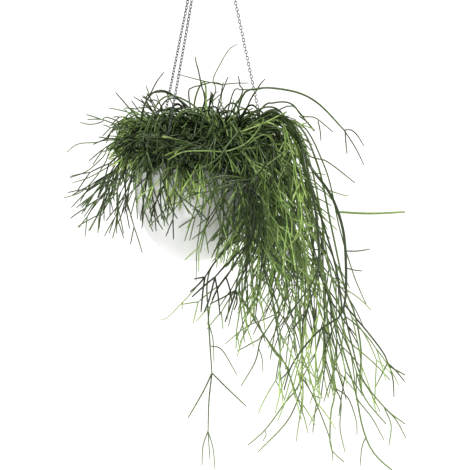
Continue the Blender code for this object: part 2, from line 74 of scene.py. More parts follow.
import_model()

# Pot, as in the solid
RIM_DROP = 0.466  # from the hook's bend to the plane of the rim, along the pot's axis
TILT = math.radians(2.8)
POT_TURN = 2.3  # degrees that it is turned about its axis, seen from above
POT_RADIUS = 0.108
POT_DEPTH = 0.229
POT_STRAIGHT = 0.098  # depth of the nearly upright part of the wall
POT_WALL = 0.003
POT_FLARE = 0.002  # how much narrower the wall is at that part's end than at the rim
FLAT_FOOT = 0.008
POT_FRAME = Matrix.Rotation(TILT, 4, "Y") @ Matrix.Translation((0, 0, -RIM_DROP))
RIM_CENTRE = np.array(POT_FRAME.translation)
HOLE_DEPTH = 0.009  # hole's centre below the rim
HOLE_RADIUS = 0.0016
HOLE_CUT = (0.095, 0.120)  # from the pot's axis to both ends of a hole's cutter
SMOOTH_UP_TO = math.radians(40)  # sharper edges than this stay sharp

# Soil, as in the solid, with finer crumbs and with chips on it
SOIL_BELOW_RIM = 0.013
SOIL_MOUND = 0.007
SOIL_EDGE = 0.003  # how much lower its edge lies than its general level
SOIL_SHOWN = 0.030  # depth of the soil's side that is made
SOIL_CLOSER = 0.85  # power of the rings' shares, which sets them closer towards the wall
CRUMB_LIFT = 0.0009
# Length, lift and turn of each size of crumb
CRUMBS = ((0.029, 1.0, 0.4), (0.015, 0.8, 1.9), (0.0083, 0.55, 2.7), (0.0043, 0.35, 0.9))
CRUMB_WIDTH = 0.83  # how many times as fast they wave across as along
CHIPS_WITHIN = POT_RADIUS - 2.5 * POT_WALL
CHIP_FIELD = 0.97  # share of that radius in which the chips lie
CHIP_SIZE = (0.0012, 0.0042)  # half a chip's length, at least and at most
CHIP_SHARE = (0.35, 1.0)  # of its size, along each of its axes
CHIP_WOBBLE = (0.75, 1.2)  # of its plain distance, how far out each corner stands
CHIP_SEED = 3

# Hooks, as in the solids
CHAIN_ANGLES = {"right": POT_TURN, "back_left": 120 + POT_TURN, "front_left": 240 + POT_TURN}
HOOK_WIRE = 0.0026
HOOK_BEND = 0.0120
HOOK_ARC = (-35, 190)  # degrees from +X towards +Z
HOOK_SHANK = [(-0.0075, 0.0, -0.0205), (-0.0020, 0.0, -0.0270)]
EYE_BEND = 0.0060
EYE_DROP = 0.0420
EYE_ARC = (100, 418)
EYE_NECK = 0.0035
RIM_HOOK_WIRE = 0.0016
RIM_EYE_BEND = 0.0026
RIM_HOOK_OUT = 0.0036  # from the wall to the wire that rises outside it
RIM_HOOK_IN = 0.0042  # from the inner wall to the hook's end inside the pot
RIM_EYE_ARC = (-105, -415)

# Chains: where they hang and their end links as in the solids, with the real small links between
LINK_PITCH = 0.0055
LINK_WIDTH = 0.0056
LINK_WIRE = 0.0014
END_LINK_LENGTH = 0.0110
END_LINK_WIDTH = 0.0064
LINK_SPACING = 0.0022  # between the three top links side by side in the hook's eye
LINK_LEAN = 0.0004  # how far a leaning link's end slides along and over the eye's wire
CHAIN_FOOT = 0.0062  # wire of a chain's last link above the rim
GAP = 0.0003  # between pieces that touch

# Where the stems root and what they keep clear of
CROWN_REACH = 0.055  # from the pot's axis to a spray's root crown
CROWN_SPREAD = 0.020  # stems of one spray root within this of its crown
ROOT_DEPTH = 0.012
CLEAR = 0.0042  # from the wall, the rim or the soil to a stem's centre
RIM_BAND = 0.020  # a stem no further than this under the rim is lifted over it
NO_FLOOR = -1.0  # stands for the height of what is under a stem outside the pot
SECTORS = {
    "back_right": (35, 78),
    "back": (78, 120 + POT_TURN),
    "back_left": (120 + POT_TURN, 155),
    "left": (155, 197),
    "front_left": (197, 240 + POT_TURN),
    "front": (240 + POT_TURN, 276),
    "front_right": (276, 308),
    "right_front": (308, 334),
    "right": (334, 360 + POT_TURN),
    "right_back": (POT_TURN, 35),
}

# How the stems grow, with thickness in millimetres
MAIN_THICKNESS = (3.5, 3.0)  # at the root and at the end
TIP_THICKNESS = 2.1  # at the end of the last fork
WAIST = (0.15, 9)  # how much thinner a root is, and how fast that ends along the stem
BLUNT = (0.25, 14)  # how much thinner a tip is, and the power of the length by which it thins
THICKNESS_TO_RADIUS = 2000  # a thickness in millimetres divided by this is a radius in metres
TIP_BULGE = 0.6  # how far a tube's tip stands out, as a share of its radius
SWAY = 0.006  # how far a stem wanders off its plain curve
SWAY_LENGTH = 0.13
BEARING_JITTER = 2.5  # degrees by which a stem's bearing strays
LEAST_RUN = 0.03  # least length of a stem past its rise, and of its droop
FIRST_RUN = 0.6  # what the search for a stem's run starts from
RUN_ROUNDS = 12  # rounds of that search
SWING_POWER = 1.5  # of the share of its length, by which a stem swings round
PAIRS_FROM, PAIRS_OVER = 0.38, 0.54  # where on a stem its pairs of limbs start, and over how much of it
PAIR_PLACE = (0.1, 0.9)  # where a pair may sit in its own part of that
PAIR_STEPS = (0.3, 0.65, 1.0)  # from the stem's end, 0, to the last tip, 1
SHORTER = 0.4  # how much shorter the last limbs are
FORK_TURN = 0.5  # radians that a limb may be off its even place round the stem
LIMB_YOUTH = (0.5, 1.2)  # how far towards the tip's youth a limb gets
LIMB_TONE = 0.14  # spread of the limbs' tone about their stem's
STEM_TONE = 0.34  # spread of the stems' tone about their bunch's
STEM_YOUTH = 0.18  # and of their youth
MAIN_YOUTH = 0.35  # how far towards the tip's youth a main stem gets
SINGLE_TAPER = 0.78  # a photographed stem's thickness at its end, as a share of that at its root
SINGLE_TONE = 0.40
DEPTH_KEPT = 0.16  # in front of and behind the hook's plane, up to which nothing is drawn in
DEPTH_OVER = 0.058  # and the most by which a stem stands out past that
DOWN = np.array((0.0, 0.0, -1.0))

# Fineness of the surfaces
POT_ROWS = 24
LIP_POINTS = 9
HOLE_SIDES = 24
SOIL_RINGS = 44
BEND_POINTS, SHANK_POINTS, EYE_POINTS, HOOK_SIDES = 28, 14, 32, 12
RISE_POINTS, RIM_EYE_POINTS, RIM_HOOK_SIDES = 20, 22, 10
LINK_POINTS, LINK_SIDES = 12, 5
END_LINK_POINTS, END_LINK_SIDES = 16, 8
MAIN_RINGS, MAIN_SIDES = 28, 6
LIMB_RINGS, LIMB_SIDES = 8, 5
SINGLE_RINGS, KNOT_RINGS = 8, 4  # of a photographed stem, and how many more for each of its knots
SIDE_START = (0.31, 0.87, 0.39)  # a way that no path starts along
NEARLY_ZERO = 1e-9

# Patterns of the finishes
MOULD_GRAIN = 0.0015
MOULD_CLOUD = 0.060
CRUMB_GRAIN = 0.004
DULL_PATCH = 0.003
MOTTLE = 0.005
PORE = 0.0012

# Camera, as in the photograph, and stage
IMAGE_SIDE = 470
VIEW_WIDTH = 0.8206  # what the picture's side spans at the aim
AIM = (0.041, 0.0, -0.650)
ELEVATION = math.radians(15)
CAMERA_DISTANCE = 6.0
SENSOR = 36.0
FARTHEST = 200
FLOOR_REACH = 40.0
SUN_PLACE = (-0.6, -2.0, 3.0)
HORIZON_BAND = (0.03, 0.30)  # sines of the angles over which the surroundings darken


def linear(hex_colour):
    """An sRGB hex colour as linear red, green and blue, with an alpha of one."""
    channels = [int(hex_colour[i : i + 2], 16) / 255 for i in (1, 3, 5)]
    return (*(c / 12.92 if c <= 0.04045 else ((c + 0.055) / 1.055) ** 2.4 for c in channels), 1.0)


def unit(vectors):
    """Vectors scaled to a length of one."""
    return vectors / np.maximum(np.linalg.norm(vectors, axis=-1, keepdims=True), NEARLY_ZERO)


def camera_axes():
    """Where the camera stands, and its right, up and forward ways."""
    forward = np.array((0, math.cos(ELEVATION), -math.sin(ELEVATION)))
    right = np.array((1.0, 0.0, 0.0))
    up = np.cross(right, forward)
    return np.array(AIM) - forward * CAMERA_DISTANCE, right, up, forward


def from_photo(across, down, towards):
    """The point seen at a pixel of the photograph, a number of centimetres in front of the chains' plane.

    The ray through the pixel is followed until its Y is minus that distance.
    """
    place, right, up, forward = camera_axes()
    scale = VIEW_WIDTH / IMAGE_SIDE / CAMERA_DISTANCE
    ray = forward + right * (across - IMAGE_SIDE / 2) * scale - up * (down - IMAGE_SIDE / 2) * scale
    return place + ray * ((-towards / 100 - place[1]) / ray[1])


# Surfaces


def closed_grid(rows, columns, first_pole, last_pole):
    """Faces of a grid that closes on itself along each row and ends in a point before and after.

    The grid's vertex of row i and column j is i * columns + j, and the two poles follow.
    """
    i, j = np.meshgrid(np.arange(rows - 1), np.arange(columns), indexing="ij")
    here, beside = i * columns + j, i * columns + (j + 1) % columns
    quads = np.stack([here, beside, beside + columns, here + columns], axis=-1).reshape(-1, 4)
    k = np.arange(columns)
    after = (k + 1) % columns
    start = np.stack([np.full(columns, first_pole), after, k], axis=-1)
    last = (rows - 1) * columns
    end = np.stack([np.full(columns, last_pole), last + k, last + after], axis=-1)
    return quads, np.concatenate([start, end])


def surface(name, vertices, quads, triangles, finish, attributes=None, smooth=True):
    """A mesh object from whole arrays of vertices, quads and triangles, with values at its vertices."""
    mesh = bpy.data.meshes.new(name)
    vertices = np.asarray(vertices, np.float32)
    quads, triangles = np.asarray(quads, np.int32), np.asarray(triangles, np.int32)
    corners = np.concatenate([quads.ravel(), triangles.ravel()])
    sizes = np.concatenate([np.full(len(quads), 4), np.full(len(triangles), 3)])
    mesh.vertices.add(len(vertices))
    mesh.vertices.foreach_set("co", vertices.ravel())
    mesh.loops.add(len(corners))
    mesh.loops.foreach_set("vertex_index", corners)
    mesh.polygons.add(len(sizes))
    mesh.polygons.foreach_set("loop_start", np.concatenate([[0], np.cumsum(sizes)[:-1]]).astype(np.int32))
    mesh.update(calc_edges=True)
    mesh.polygons.foreach_set("use_smooth", np.full(len(sizes), smooth))
    for label, values in (attributes or {}).items():
        layer = mesh.attributes.new(label, "FLOAT", "POINT")
        layer.data.foreach_set("value", np.asarray(values, np.float32).ravel())
    mesh.materials.append(finish)
    mesh.validate()
    obj = bpy.data.objects.new(name, mesh)
    bpy.context.scene.collection.objects.link(obj)
    return obj


def turned(profile, columns):
    """Vertices and faces of a profile turned round Z: radius times cosine and sine of the turn, and height.

    The profile's first and last points lie on the axis and become the poles.
    """
    profile = np.asarray(profile, float)
    turn = np.arange(columns) * 2 * np.pi / columns
    ring = profile[1:-1]
    x = ring[:, None, 0] * np.cos(turn)
    y = ring[:, None, 0] * np.sin(turn)
    z = np.broadcast_to(ring[:, None, 1], x.shape)
    grid = np.stack([x, y, z], axis=-1).reshape(-1, 3)
    poles = [(0, 0, profile[0, 1]), (0, 0, profile[-1, 1])]
    quads, triangles = closed_grid(len(ring), columns, len(grid), len(grid) + 1)
    return np.concatenate([grid, poles]), quads, triangles


def into_pot_frame(points):
    """Points in the pot's own frame, rim at height zero, moved to where the pot hangs tilted."""
    matrix = np.array(POT_FRAME)
    return points @ matrix[:3, :3].T + matrix[:3, 3]


def tubes(paths, radii, sides, closed=False):
    """Vertices and faces of round tubes carried along paths of equal counts of points.

    A ring round each point is the point plus the radius times (cosine of the angle times side + sine times
    third), where side is carried along the path without twist and third is square to it and to the path.
    """
    count, rings = paths.shape[:2]
    before, after = np.roll(paths, 1, axis=1), np.roll(paths, -1, axis=1)
    if not closed:
        before[:, 0], after[:, -1] = paths[:, 0], paths[:, -1]
    along = unit(after - before)
    side = np.empty_like(along)
    side[:, 0] = unit(np.cross(along[:, 0], SIDE_START))
    for ring in range(1, rings):
        carried = side[:, ring - 1]
        carried = carried - along[:, ring] * (carried * along[:, ring]).sum(-1, keepdims=True)
        side[:, ring] = unit(carried)
    third = np.cross(along, side)
    angles = np.arange(sides) * 2 * np.pi / sides
    spoke = side[:, :, None] * np.cos(angles)[:, None] + third[:, :, None] * np.sin(angles)[:, None]
    vertices = (paths[:, :, None] + spoke * radii[:, :, None, None]).reshape(-1, 3)
    per_tube = rings * sides
    base = np.arange(count)[:, None, None] * per_tube
    i, j = np.meshgrid(np.arange(rings if closed else rings - 1), np.arange(sides), indexing="ij")
    here, beside = i * sides + j, i * sides + (j + 1) % sides
    ahead = (i + 1) % rings * sides
    quads = np.stack([here, beside, ahead + (j + 1) % sides, ahead + j], axis=-1).reshape(-1, 4)
    quads = (base + quads).reshape(-1, 4)
    if closed:
        return vertices, quads, np.zeros((0, 3), int)
    tips = paths[:, -1] + along[:, -1] * radii[:, -1:] * TIP_BULGE
    feet = paths[:, 0]
    k = np.arange(sides)
    foot = count * per_tube + np.arange(count)[:, None]
    tip = foot + count
    start = base[:, :, 0] + k
    start_next = base[:, :, 0] + (k + 1) % sides
    last = (rings - 1) * sides
    foot_fan = np.stack([np.broadcast_to(foot, start.shape), start_next, start], axis=-1)
    tip_fan = np.stack([np.broadcast_to(tip, start.shape), start + last, start_next + last], axis=-1)
    fans = np.concatenate([foot_fan, tip_fan]).reshape(-1, 3)
    return np.concatenate([vertices, feet, tips]), quads, fans


def round_tubes(paths, thickness, sides, closed=False):
    """Tubes of one thickness along all paths."""
    return tubes(paths, np.full(paths.shape[:2], thickness / 2), sides, closed)


def arc(centre, radius, start, end, count):
    """Points in the XZ plane on an arc, angles in degrees from +X towards +Z."""
    angles = np.radians(np.linspace(start, end, count))
    zero = np.zeros(count)
    return np.stack([centre[0] + radius * np.cos(angles), zero, centre[1] + radius * np.sin(angles)], axis=-1)


def smooth_curve(knots, count):
    """A Catmull-Rom curve through the knots, at a count of points spread evenly over its knots' distances."""
    knots = np.asarray(knots, float)
    reach = np.concatenate([[0], np.cumsum(np.linalg.norm(np.diff(knots, axis=0), axis=1))])
    share = np.linspace(0, reach[-1], count)
    span = np.clip(np.searchsorted(reach, share, side="right") - 1, 0, len(knots) - 2)
    t = ((share - reach[span]) / np.maximum(reach[span + 1] - reach[span], NEARLY_ZERO))[:, None]
    padded = np.concatenate([[2 * knots[0] - knots[1]], knots, [2 * knots[-1] - knots[-2]]])
    a, b, c, d = (padded[span + k] for k in range(4))
    straight = 2 * b + (c - a) * t
    bent = (2 * a - 5 * b + 4 * c - d) * t**2 + (3 * b - a - 3 * c + d) * t**3
    return 0.5 * (straight + bent)


# Materials


def set_inputs(tree, node, inputs):
    """Each named input of a node takes a value or is linked to (node, output)."""
    for name, value in inputs.items():
        if isinstance(value, tuple) and isinstance(value[0], bpy.types.Node):
            tree.links.new(value[0].outputs[value[1]], node.inputs[name])
        else:
            node.inputs[name].default_value = value


def add_node(tree, kind, settings=None, inputs=None, stops=()):
    """A node of a kind with its settings, its inputs and its ramp's stops, each a place and a hex colour."""
    node = tree.nodes.new(kind)
    for name, value in (settings or {}).items():
        setattr(node, name, value)
    set_inputs(tree, node, inputs or {})
    for place, _ in stops[2:]:
        node.color_ramp.elements.new(place)
    for number, (place, colour) in enumerate(stops):
        node.color_ramp.elements[number].position = place
        node.color_ramp.elements[number].color = linear(colour)
    return node


def new_material(name, constants):
    """A material, its nodes and its Principled shader, whose own sockets take the constants."""
    material = bpy.data.materials.new(name)
    material.use_nodes = True
    tree = material.node_tree
    shader = tree.nodes["Principled BSDF"]
    set_inputs(tree, shader, constants)
    return material, tree, shader


def moulded_polypropylene(colour, shade):
    """Matt white moulded plastic: even, softly shining, with the mould's fine eroded grain.

    Faint clouds of 60 mm keep the white from being flat. The real grain is about 0.3 mm, too fine to show,
    and is drawn at 1.5 mm.
    """
    material, tree, shader = new_material("moulded_polypropylene", {"Roughness": 0.48, "IOR": 1.49})
    place = add_node(tree, "ShaderNodeTexCoord")
    grain = add_node(tree, "ShaderNodeTexNoise", inputs={
        "Vector": (place, "Object"), "Scale": 1 / MOULD_GRAIN, "Detail": 3.0, "Roughness": 0.6,
    })
    cloud = add_node(tree, "ShaderNodeTexNoise", inputs={
        "Vector": (place, "Object"), "Scale": 1 / MOULD_CLOUD, "Detail": 2.0,
    })
    tone = add_node(
        tree, "ShaderNodeValToRGB", inputs={"Fac": (cloud, "Fac")}, stops=[(0.35, colour), (0.65, shade)],
    )
    bump = add_node(tree, "ShaderNodeBump", inputs={
        "Height": (grain, "Fac"), "Strength": 0.06, "Distance": 0.0002,
    })
    set_inputs(tree, shader, {"Base Color": (tone, "Color"), "Normal": (bump, "Normal")})
    return material


def peat_soil(name, dark, light):
    """Moist peat potting soil or bark: crumbs of 4 mm, no shine. One noise both lifts the crumbs and colours
    them: the near black between them is painted shade in their hollows over the material's own dark brown,
    and their lighter tops are partly own colour and partly painted light.
    """
    material, tree, shader = new_material(name, {"Roughness": 0.93})
    place = add_node(tree, "ShaderNodeTexCoord")
    crumbs = add_node(tree, "ShaderNodeTexNoise", inputs={
        "Vector": (place, "Object"), "Scale": 1 / CRUMB_GRAIN, "Detail": 6.0, "Roughness": 0.7,
    })
    # painted shade and light: the ramp follows the bump's height, dark in the hollows and lighter on the tops
    tone = add_node(
        tree, "ShaderNodeValToRGB", inputs={"Fac": (crumbs, "Fac")}, stops=[(0.38, dark), (0.66, light)],
    )
    bump = add_node(tree, "ShaderNodeBump", inputs={
        "Height": (crumbs, "Fac"), "Strength": 0.8, "Distance": 0.0012,
    })
    set_inputs(tree, shader, {"Base Color": (tone, "Color"), "Normal": (bump, "Normal")})
    return material


def zinc_plated_wire(bright, dull):
    """Drawn steel wire with bright zinc plating: clean grey metal, a little dulled in patches of 3 mm."""
    material, tree, shader = new_material("zinc_plated_drawn_wire", {"Metallic": 1.0})
    place = add_node(tree, "ShaderNodeTexCoord")
    patch = add_node(tree, "ShaderNodeTexNoise", inputs={
        "Vector": (place, "Object"), "Scale": 1 / DULL_PATCH, "Detail": 3.0,
    })
    tone = add_node(
        tree, "ShaderNodeValToRGB", inputs={"Fac": (patch, "Fac")}, stops=[(0.30, dull), (0.70, bright)],
    )
    rough = add_node(tree, "ShaderNodeMapRange", inputs={
        "Value": (patch, "Fac"), "To Min": 0.42, "To Max": 0.24,
    })
    set_inputs(tree, shader, {"Base Color": (tone, "Color"), "Roughness": (rough, "Result")})
    return material


def succulent_skin(old, mature, green, young):
    """Skin of a succulent stem: waxy, dark and greyish where old, yellow-green at the growing tips.

    Youth runs along each stem, and tone, how light it is, differs at random from stem to stem; where a
    bunch's tone is set low, as for the stems along the rim, the darker tone is painted shade. Patches of 5 mm
    mottle it. The real pores are about 0.2 mm, too fine to show, and are drawn at 1.2 mm.
    """
    material, tree, shader = new_material("waxy_succulent_skin", {"Roughness": 0.34, "IOR": 1.38})
    youth = add_node(tree, "ShaderNodeAttribute", {"attribute_name": "youth"})
    tone = add_node(tree, "ShaderNodeAttribute", {"attribute_name": "tone"})
    place = add_node(tree, "ShaderNodeTexCoord")
    mottle = add_node(tree, "ShaderNodeTexNoise", inputs={
        "Vector": (place, "Object"), "Scale": 1 / MOTTLE, "Detail": 3.0,
    })
    shift = add_node(tree, "ShaderNodeMapRange", inputs={
        "Value": (mottle, "Fac"), "From Min": 0.25, "From Max": 0.75, "To Min": -0.10, "To Max": 0.10,
    })
    age = add_node(tree, "ShaderNodeMath", {"operation": "ADD", "use_clamp": True}, {
        0: (youth, "Fac"), 1: (shift, "Result"),
    })
    skin = add_node(
        tree, "ShaderNodeValToRGB", inputs={"Fac": (age, "Value")},
        stops=[(0.0, old), (0.36, mature), (0.68, green), (1.0, young)],
    )
    # tone as a brightness scale: random from stem to stem, and painted shade where a bunch's tone is set low
    depth = add_node(tree, "ShaderNodeMapRange", inputs={
        "Value": (tone, "Fac"), "To Min": 0.30, "To Max": 2.10,
    })
    shade = add_node(tree, "ShaderNodeVectorMath", {"operation": "SCALE"}, {
        0: (skin, "Color"), "Scale": (depth, "Result"),
    })
    pores = add_node(tree, "ShaderNodeTexNoise", inputs={
        "Vector": (place, "Object"), "Scale": 1 / PORE, "Detail": 2.0,
    })
    bump = add_node(tree, "ShaderNodeBump", inputs={
        "Height": (pores, "Fac"), "Strength": 0.25, "Distance": 0.0003,
    })
    set_inputs(tree, shader, {"Base Color": (shade, "Vector"), "Normal": (bump, "Normal")})
    return material


def matt_paper(colour):
    """Plain pale studio paper with no shine."""
    constants = {"Roughness": 0.9, "Base Color": linear(colour), "Specular IOR Level": 0.0}
    return new_material("matt_paper", constants)[0]


# Pot and soil


def wall(depth, inset=0.0):
    """Radius of the pot's outer wall below the rim: upright, then a quarter of an ellipse."""
    depth = np.asarray(depth, float)
    radius = POT_RADIUS - POT_FLARE * np.minimum(depth / POT_STRAIGHT, 1) - inset
    share = np.maximum(depth - POT_STRAIGHT, 0) / (POT_DEPTH - POT_STRAIGHT - inset)
    return radius * np.sqrt(np.maximum(1 - share**2, 0))


def wall_rows(inset, rows_down, rows_round):
    """(radius, height) down the wall from the rim to the foot, spaced by angle where it rounds in."""
    last = math.acos(FLAT_FOOT / POT_RADIUS)
    straight = POT_STRAIGHT * np.arange(1, rows_down) / rows_down
    bent = POT_STRAIGHT + (POT_DEPTH - POT_STRAIGHT - inset) * np.sin(last * np.linspace(0, 1, rows_round))
    depth = np.concatenate([straight, bent])
    return np.stack([wall(depth, inset), -depth], axis=-1)


def make_pot(columns, finish):
    """The bowl: its profile goes up the inner wall, over a half-round lip and down the outer wall."""
    outer = wall_rows(0, POT_ROWS // 2, POT_ROWS)
    inner = wall_rows(POT_WALL, POT_ROWS // 2, POT_ROWS)[::-1]
    lip = POT_WALL / 2
    turn = np.linspace(math.pi, 0, LIP_POINTS)
    rim = np.stack([POT_RADIUS - lip + lip * np.cos(turn), -lip + lip * np.sin(turn)], axis=-1)
    profile = np.concatenate([[(0, inner[0, 1])], inner, rim, outer, [(0, outer[-1, 1])]])
    vertices, quads, triangles = turned(profile, columns)
    pot = surface("pot_bowl", vertices, quads[:, ::-1], triangles[:, ::-1], finish)
    turns = [math.radians(a) for a in CHAIN_ANGLES.values()]
    paths = np.array([[(r * math.cos(a), r * math.sin(a), -HOLE_DEPTH) for r in HOLE_CUT] for a in turns])
    cutter = surface("hole_cutter", *round_tubes(paths, 2 * HOLE_RADIUS, HOLE_SIDES), finish)
    cut = pot.modifiers.new("holes", "BOOLEAN")
    cut.operation = "DIFFERENCE"
    cut.solver = "EXACT"
    cut.object = cutter
    bpy.context.view_layer.update()
    holed = bpy.data.meshes.new_from_object(pot.evaluated_get(bpy.context.evaluated_depsgraph_get()))
    pot.modifiers.clear()
    pot.data = holed
    bpy.data.objects.remove(cutter)
    holed.transform(POT_FRAME)
    holed.set_sharp_from_angle(angle=SMOOTH_UP_TO)
    return pot


def lumps(x, y):
    """Height of the soil's crumbs: sines of four lengths from 29 mm to 4 mm that cross each other."""
    height = np.zeros_like(x)
    for length, lift, turn in CRUMBS:
        along = x * math.cos(turn) + y * math.sin(turn)
        across = y * math.cos(turn) - x * math.sin(turn)
        wave = np.cos(2 * np.pi * across / length * CRUMB_WIDTH + turn)
        height += lift * np.sin(2 * np.pi * along / length) * wave
    return height


def soil_height(x, y):
    """Mounded in the middle, lower at the wall and lumpy, as a height over the rim's plane."""
    share = np.hypot(x, y) / (POT_RADIUS - POT_WALL)
    return SOIL_MOUND * (1 - share**2) - SOIL_BELOW_RIM - SOIL_EDGE * share**6 + CRUMB_LIFT * lumps(x, y)


def make_soil(columns, finish):
    """The soil's top, as rings from the middle to the wall, with its side and underside closed below."""
    edge = POT_RADIUS - POT_WALL - POT_FLARE - GAP
    radii = edge * np.linspace(0, 1, SOIL_RINGS + 1) ** SOIL_CLOSER
    below = [(edge, -SOIL_SHOWN), (edge / 2, -SOIL_SHOWN), (0, -SOIL_SHOWN)]
    profile = [(radius, 0.0) for radius in radii] + below
    vertices, quads, triangles = turned(profile, columns)
    top = vertices[:, 2] > -SOIL_SHOWN / 2
    vertices[top, 2] = soil_height(vertices[top, 0], vertices[top, 1])
    return surface("soil_bed", into_pot_frame(vertices), quads, triangles, finish)


def make_chips(count, rng, finish):
    """Bark and peat chips on the soil: octahedra stretched and turned at random, half sunk."""
    corners = np.array([(1, 0, 0), (0, 1, 0), (-1, 0, 0), (0, -1, 0), (0, 0, 1), (0, 0, -1)], float)
    faces = np.array([(0, 1, 4), (1, 2, 4), (2, 3, 4), (3, 0, 4), (1, 0, 5), (2, 1, 5), (3, 2, 5), (0, 3, 5)])
    bearing = rng.uniform(0, 2 * np.pi, count)
    reach = CHIPS_WITHIN * np.sqrt(rng.uniform(0, 1, count)) * CHIP_FIELD
    x, y = reach * np.cos(bearing), reach * np.sin(bearing)
    middle = np.stack([x, y, soil_height(x, y)], axis=-1)
    size = rng.uniform(*CHIP_SIZE, (count, 1, 1)) * rng.uniform(*CHIP_SHARE, (count, 1, 3))
    turn, _ = np.linalg.qr(rng.normal(size=(count, 3, 3)))
    turn *= np.sign(np.linalg.det(turn))[:, None, None]
    wobble = rng.uniform(*CHIP_WOBBLE, (count, 6, 1))
    points = np.einsum("nij,nkj->nki", turn, corners * wobble * size) + middle[:, None]
    triangles = (faces + 6 * np.arange(count)[:, None, None]).reshape(-1, 3)
    vertices = into_pot_frame(points.reshape(-1, 3))
    return surface("soil_chips", vertices, np.zeros((0, 4)), triangles, finish, smooth=False)


# Hooks and chains


def wire(name, line, thickness, sides, finish):
    """Round wire carried along a line of points."""
    return surface(name, *round_tubes(np.asarray(line, float)[None], thickness, sides), finish)


def make_hook(finish):
    """A question mark of wire with its eye below; the bend's inner top is the origin."""
    bend = arc((0.0, HOOK_WIRE / 2 - HOOK_BEND), HOOK_BEND, *HOOK_ARC, BEND_POINTS)
    neck = (0.0, 0.0, -EYE_DROP + EYE_BEND + EYE_NECK)
    eye = arc((0.0, -EYE_DROP), EYE_BEND, *EYE_ARC, EYE_POINTS)
    shank = smooth_curve([bend[-1], *HOOK_SHANK, neck, eye[0]], SHANK_POINTS)[1:-1]
    return wire("hook_wire", np.concatenate([bend, shank, eye]), HOOK_WIRE, HOOK_SIDES, finish)


def make_rim_hook(name, angle, finish):
    """Wire out through the hole in the wall, turned up and closed in an eye round the chain's end."""
    inside = POT_RADIUS - POT_WALL - RIM_HOOK_IN
    outside = POT_RADIUS + RIM_HOOK_OUT
    eye_centre = CHAIN_FOOT + LINK_WIRE / 2 + GAP + RIM_HOOK_WIRE / 2 - RIM_EYE_BEND
    rise = [
        (inside, 0, -HOLE_DEPTH + 0.0030), (inside + 0.0006, 0, -HOLE_DEPTH + 0.0010),
        (inside + 0.0022, 0, -HOLE_DEPTH), (POT_RADIUS + 0.0012, 0, -HOLE_DEPTH),
        (outside - 0.0006, 0, -HOLE_DEPTH + 0.0010), (outside, 0, -HOLE_DEPTH + 0.0032),
        (outside, 0, eye_centre - RIM_EYE_BEND - 0.0012),
    ]
    eye = arc((outside, eye_centre), RIM_EYE_BEND, *RIM_EYE_ARC, RIM_EYE_POINTS)
    line = np.concatenate([smooth_curve(rise, RISE_POINTS)[:-1], eye])
    obj = wire("rim_wire_" + name, line, RIM_HOOK_WIRE, RIM_HOOK_SIDES, finish)
    obj.data.transform(POT_FRAME @ Matrix.Rotation(math.radians(angle), 4, "Z"))
    return obj


def chain_ends(name, angle):
    """Where a chain's first link hangs in the hook's eye and where its last link meets the rim's hook."""
    spot = LINK_SPACING * {"right": 1, "back_left": -1, "front_left": 0}[name]
    eye_floor = -EYE_DROP - math.sqrt(EYE_BEND**2 - spot**2)
    lean = LINK_LEAN * math.sin(math.radians(angle))
    over_eye = HOOK_WIRE / 2 + GAP + LINK_WIRE / 2 + abs(lean) / 2
    top = Vector((spot, -lean, eye_floor + over_eye))
    turn = Matrix.Rotation(math.radians(angle), 4, "Z")
    bottom = POT_FRAME @ turn @ Vector((POT_RADIUS + RIM_HOOK_OUT, 0, CHAIN_FOOT))
    return np.array(top), np.array(bottom)


def link_lines(centres, downs, flats, length, width, around):
    """Centre lines of links: two half circles joined by straight sides, along each one's down and flat."""
    turn = 2 * np.pi * (np.arange(around) + 0.5) / around
    radius = width / 2
    along = radius * np.sin(turn) + np.sign(np.sin(turn)) * (length / 2 - radius)
    across = radius * np.cos(turn)
    return centres[:, None] + downs[:, None] * along[:, None] + flats[:, None] * across[:, None]


def make_chain(name, angle, finish):
    """Small links in turn at right angles along the taut line, with a longer link at each end.

    The links' quarter turns also take up the angle between the flats of both end links.
    """
    top, bottom = chain_ends(name, angle)
    span = np.linalg.norm(bottom - top)
    down = (bottom - top) / span
    flat = unit(np.array((0, 1, 0)) - down * down[1])
    square = np.cross(down, flat)
    first = END_LINK_LENGTH - LINK_WIRE
    run = span - 2 * (first - LINK_WIRE) - LINK_WIRE
    count = round(run / LINK_PITCH) // 2 * 2 + 1
    pitch = run / count
    turn = math.radians(angle)
    tangent = np.array(POT_FRAME.to_3x3() @ Vector((-math.sin(turn), math.cos(turn), 0)))
    last_flat = unit(tangent - down * tangent.dot(down))
    last_twist = math.atan2(last_flat.dot(square), last_flat.dot(flat))
    drift = (last_twist + math.pi / 2) % math.pi - math.pi / 2
    number = np.arange(count)
    twist = (number + 1) * (math.pi / 2 + drift / (count + 1))
    places = span / 2 + (number - (count - 1) / 2) * pitch
    centres = top + places[:, None] * down
    flats = flat * np.cos(twist)[:, None] + square * np.sin(twist)[:, None]
    downs = np.broadcast_to(down, centres.shape)
    lines = link_lines(centres, downs, flats, pitch + LINK_WIRE, LINK_WIDTH - LINK_WIRE, LINK_POINTS)
    small = round_tubes(lines, LINK_WIRE, LINK_SIDES, closed=True)
    centres = np.array([top + down * first / 2, bottom - down * first / 2])
    downs, flats = np.array([down, down]), np.array([flat, last_flat])
    lines = link_lines(centres, downs, flats, first, END_LINK_WIDTH - LINK_WIRE, END_LINK_POINTS)
    large = round_tubes(lines, LINK_WIRE, END_LINK_SIDES, closed=True)
    vertices = np.concatenate([small[0], large[0]])
    quads = np.concatenate([small[1], large[1] + len(small[0])])
    return surface("chain_links_" + name, vertices, quads, np.zeros((0, 3)), finish)


# Stems that share a rule


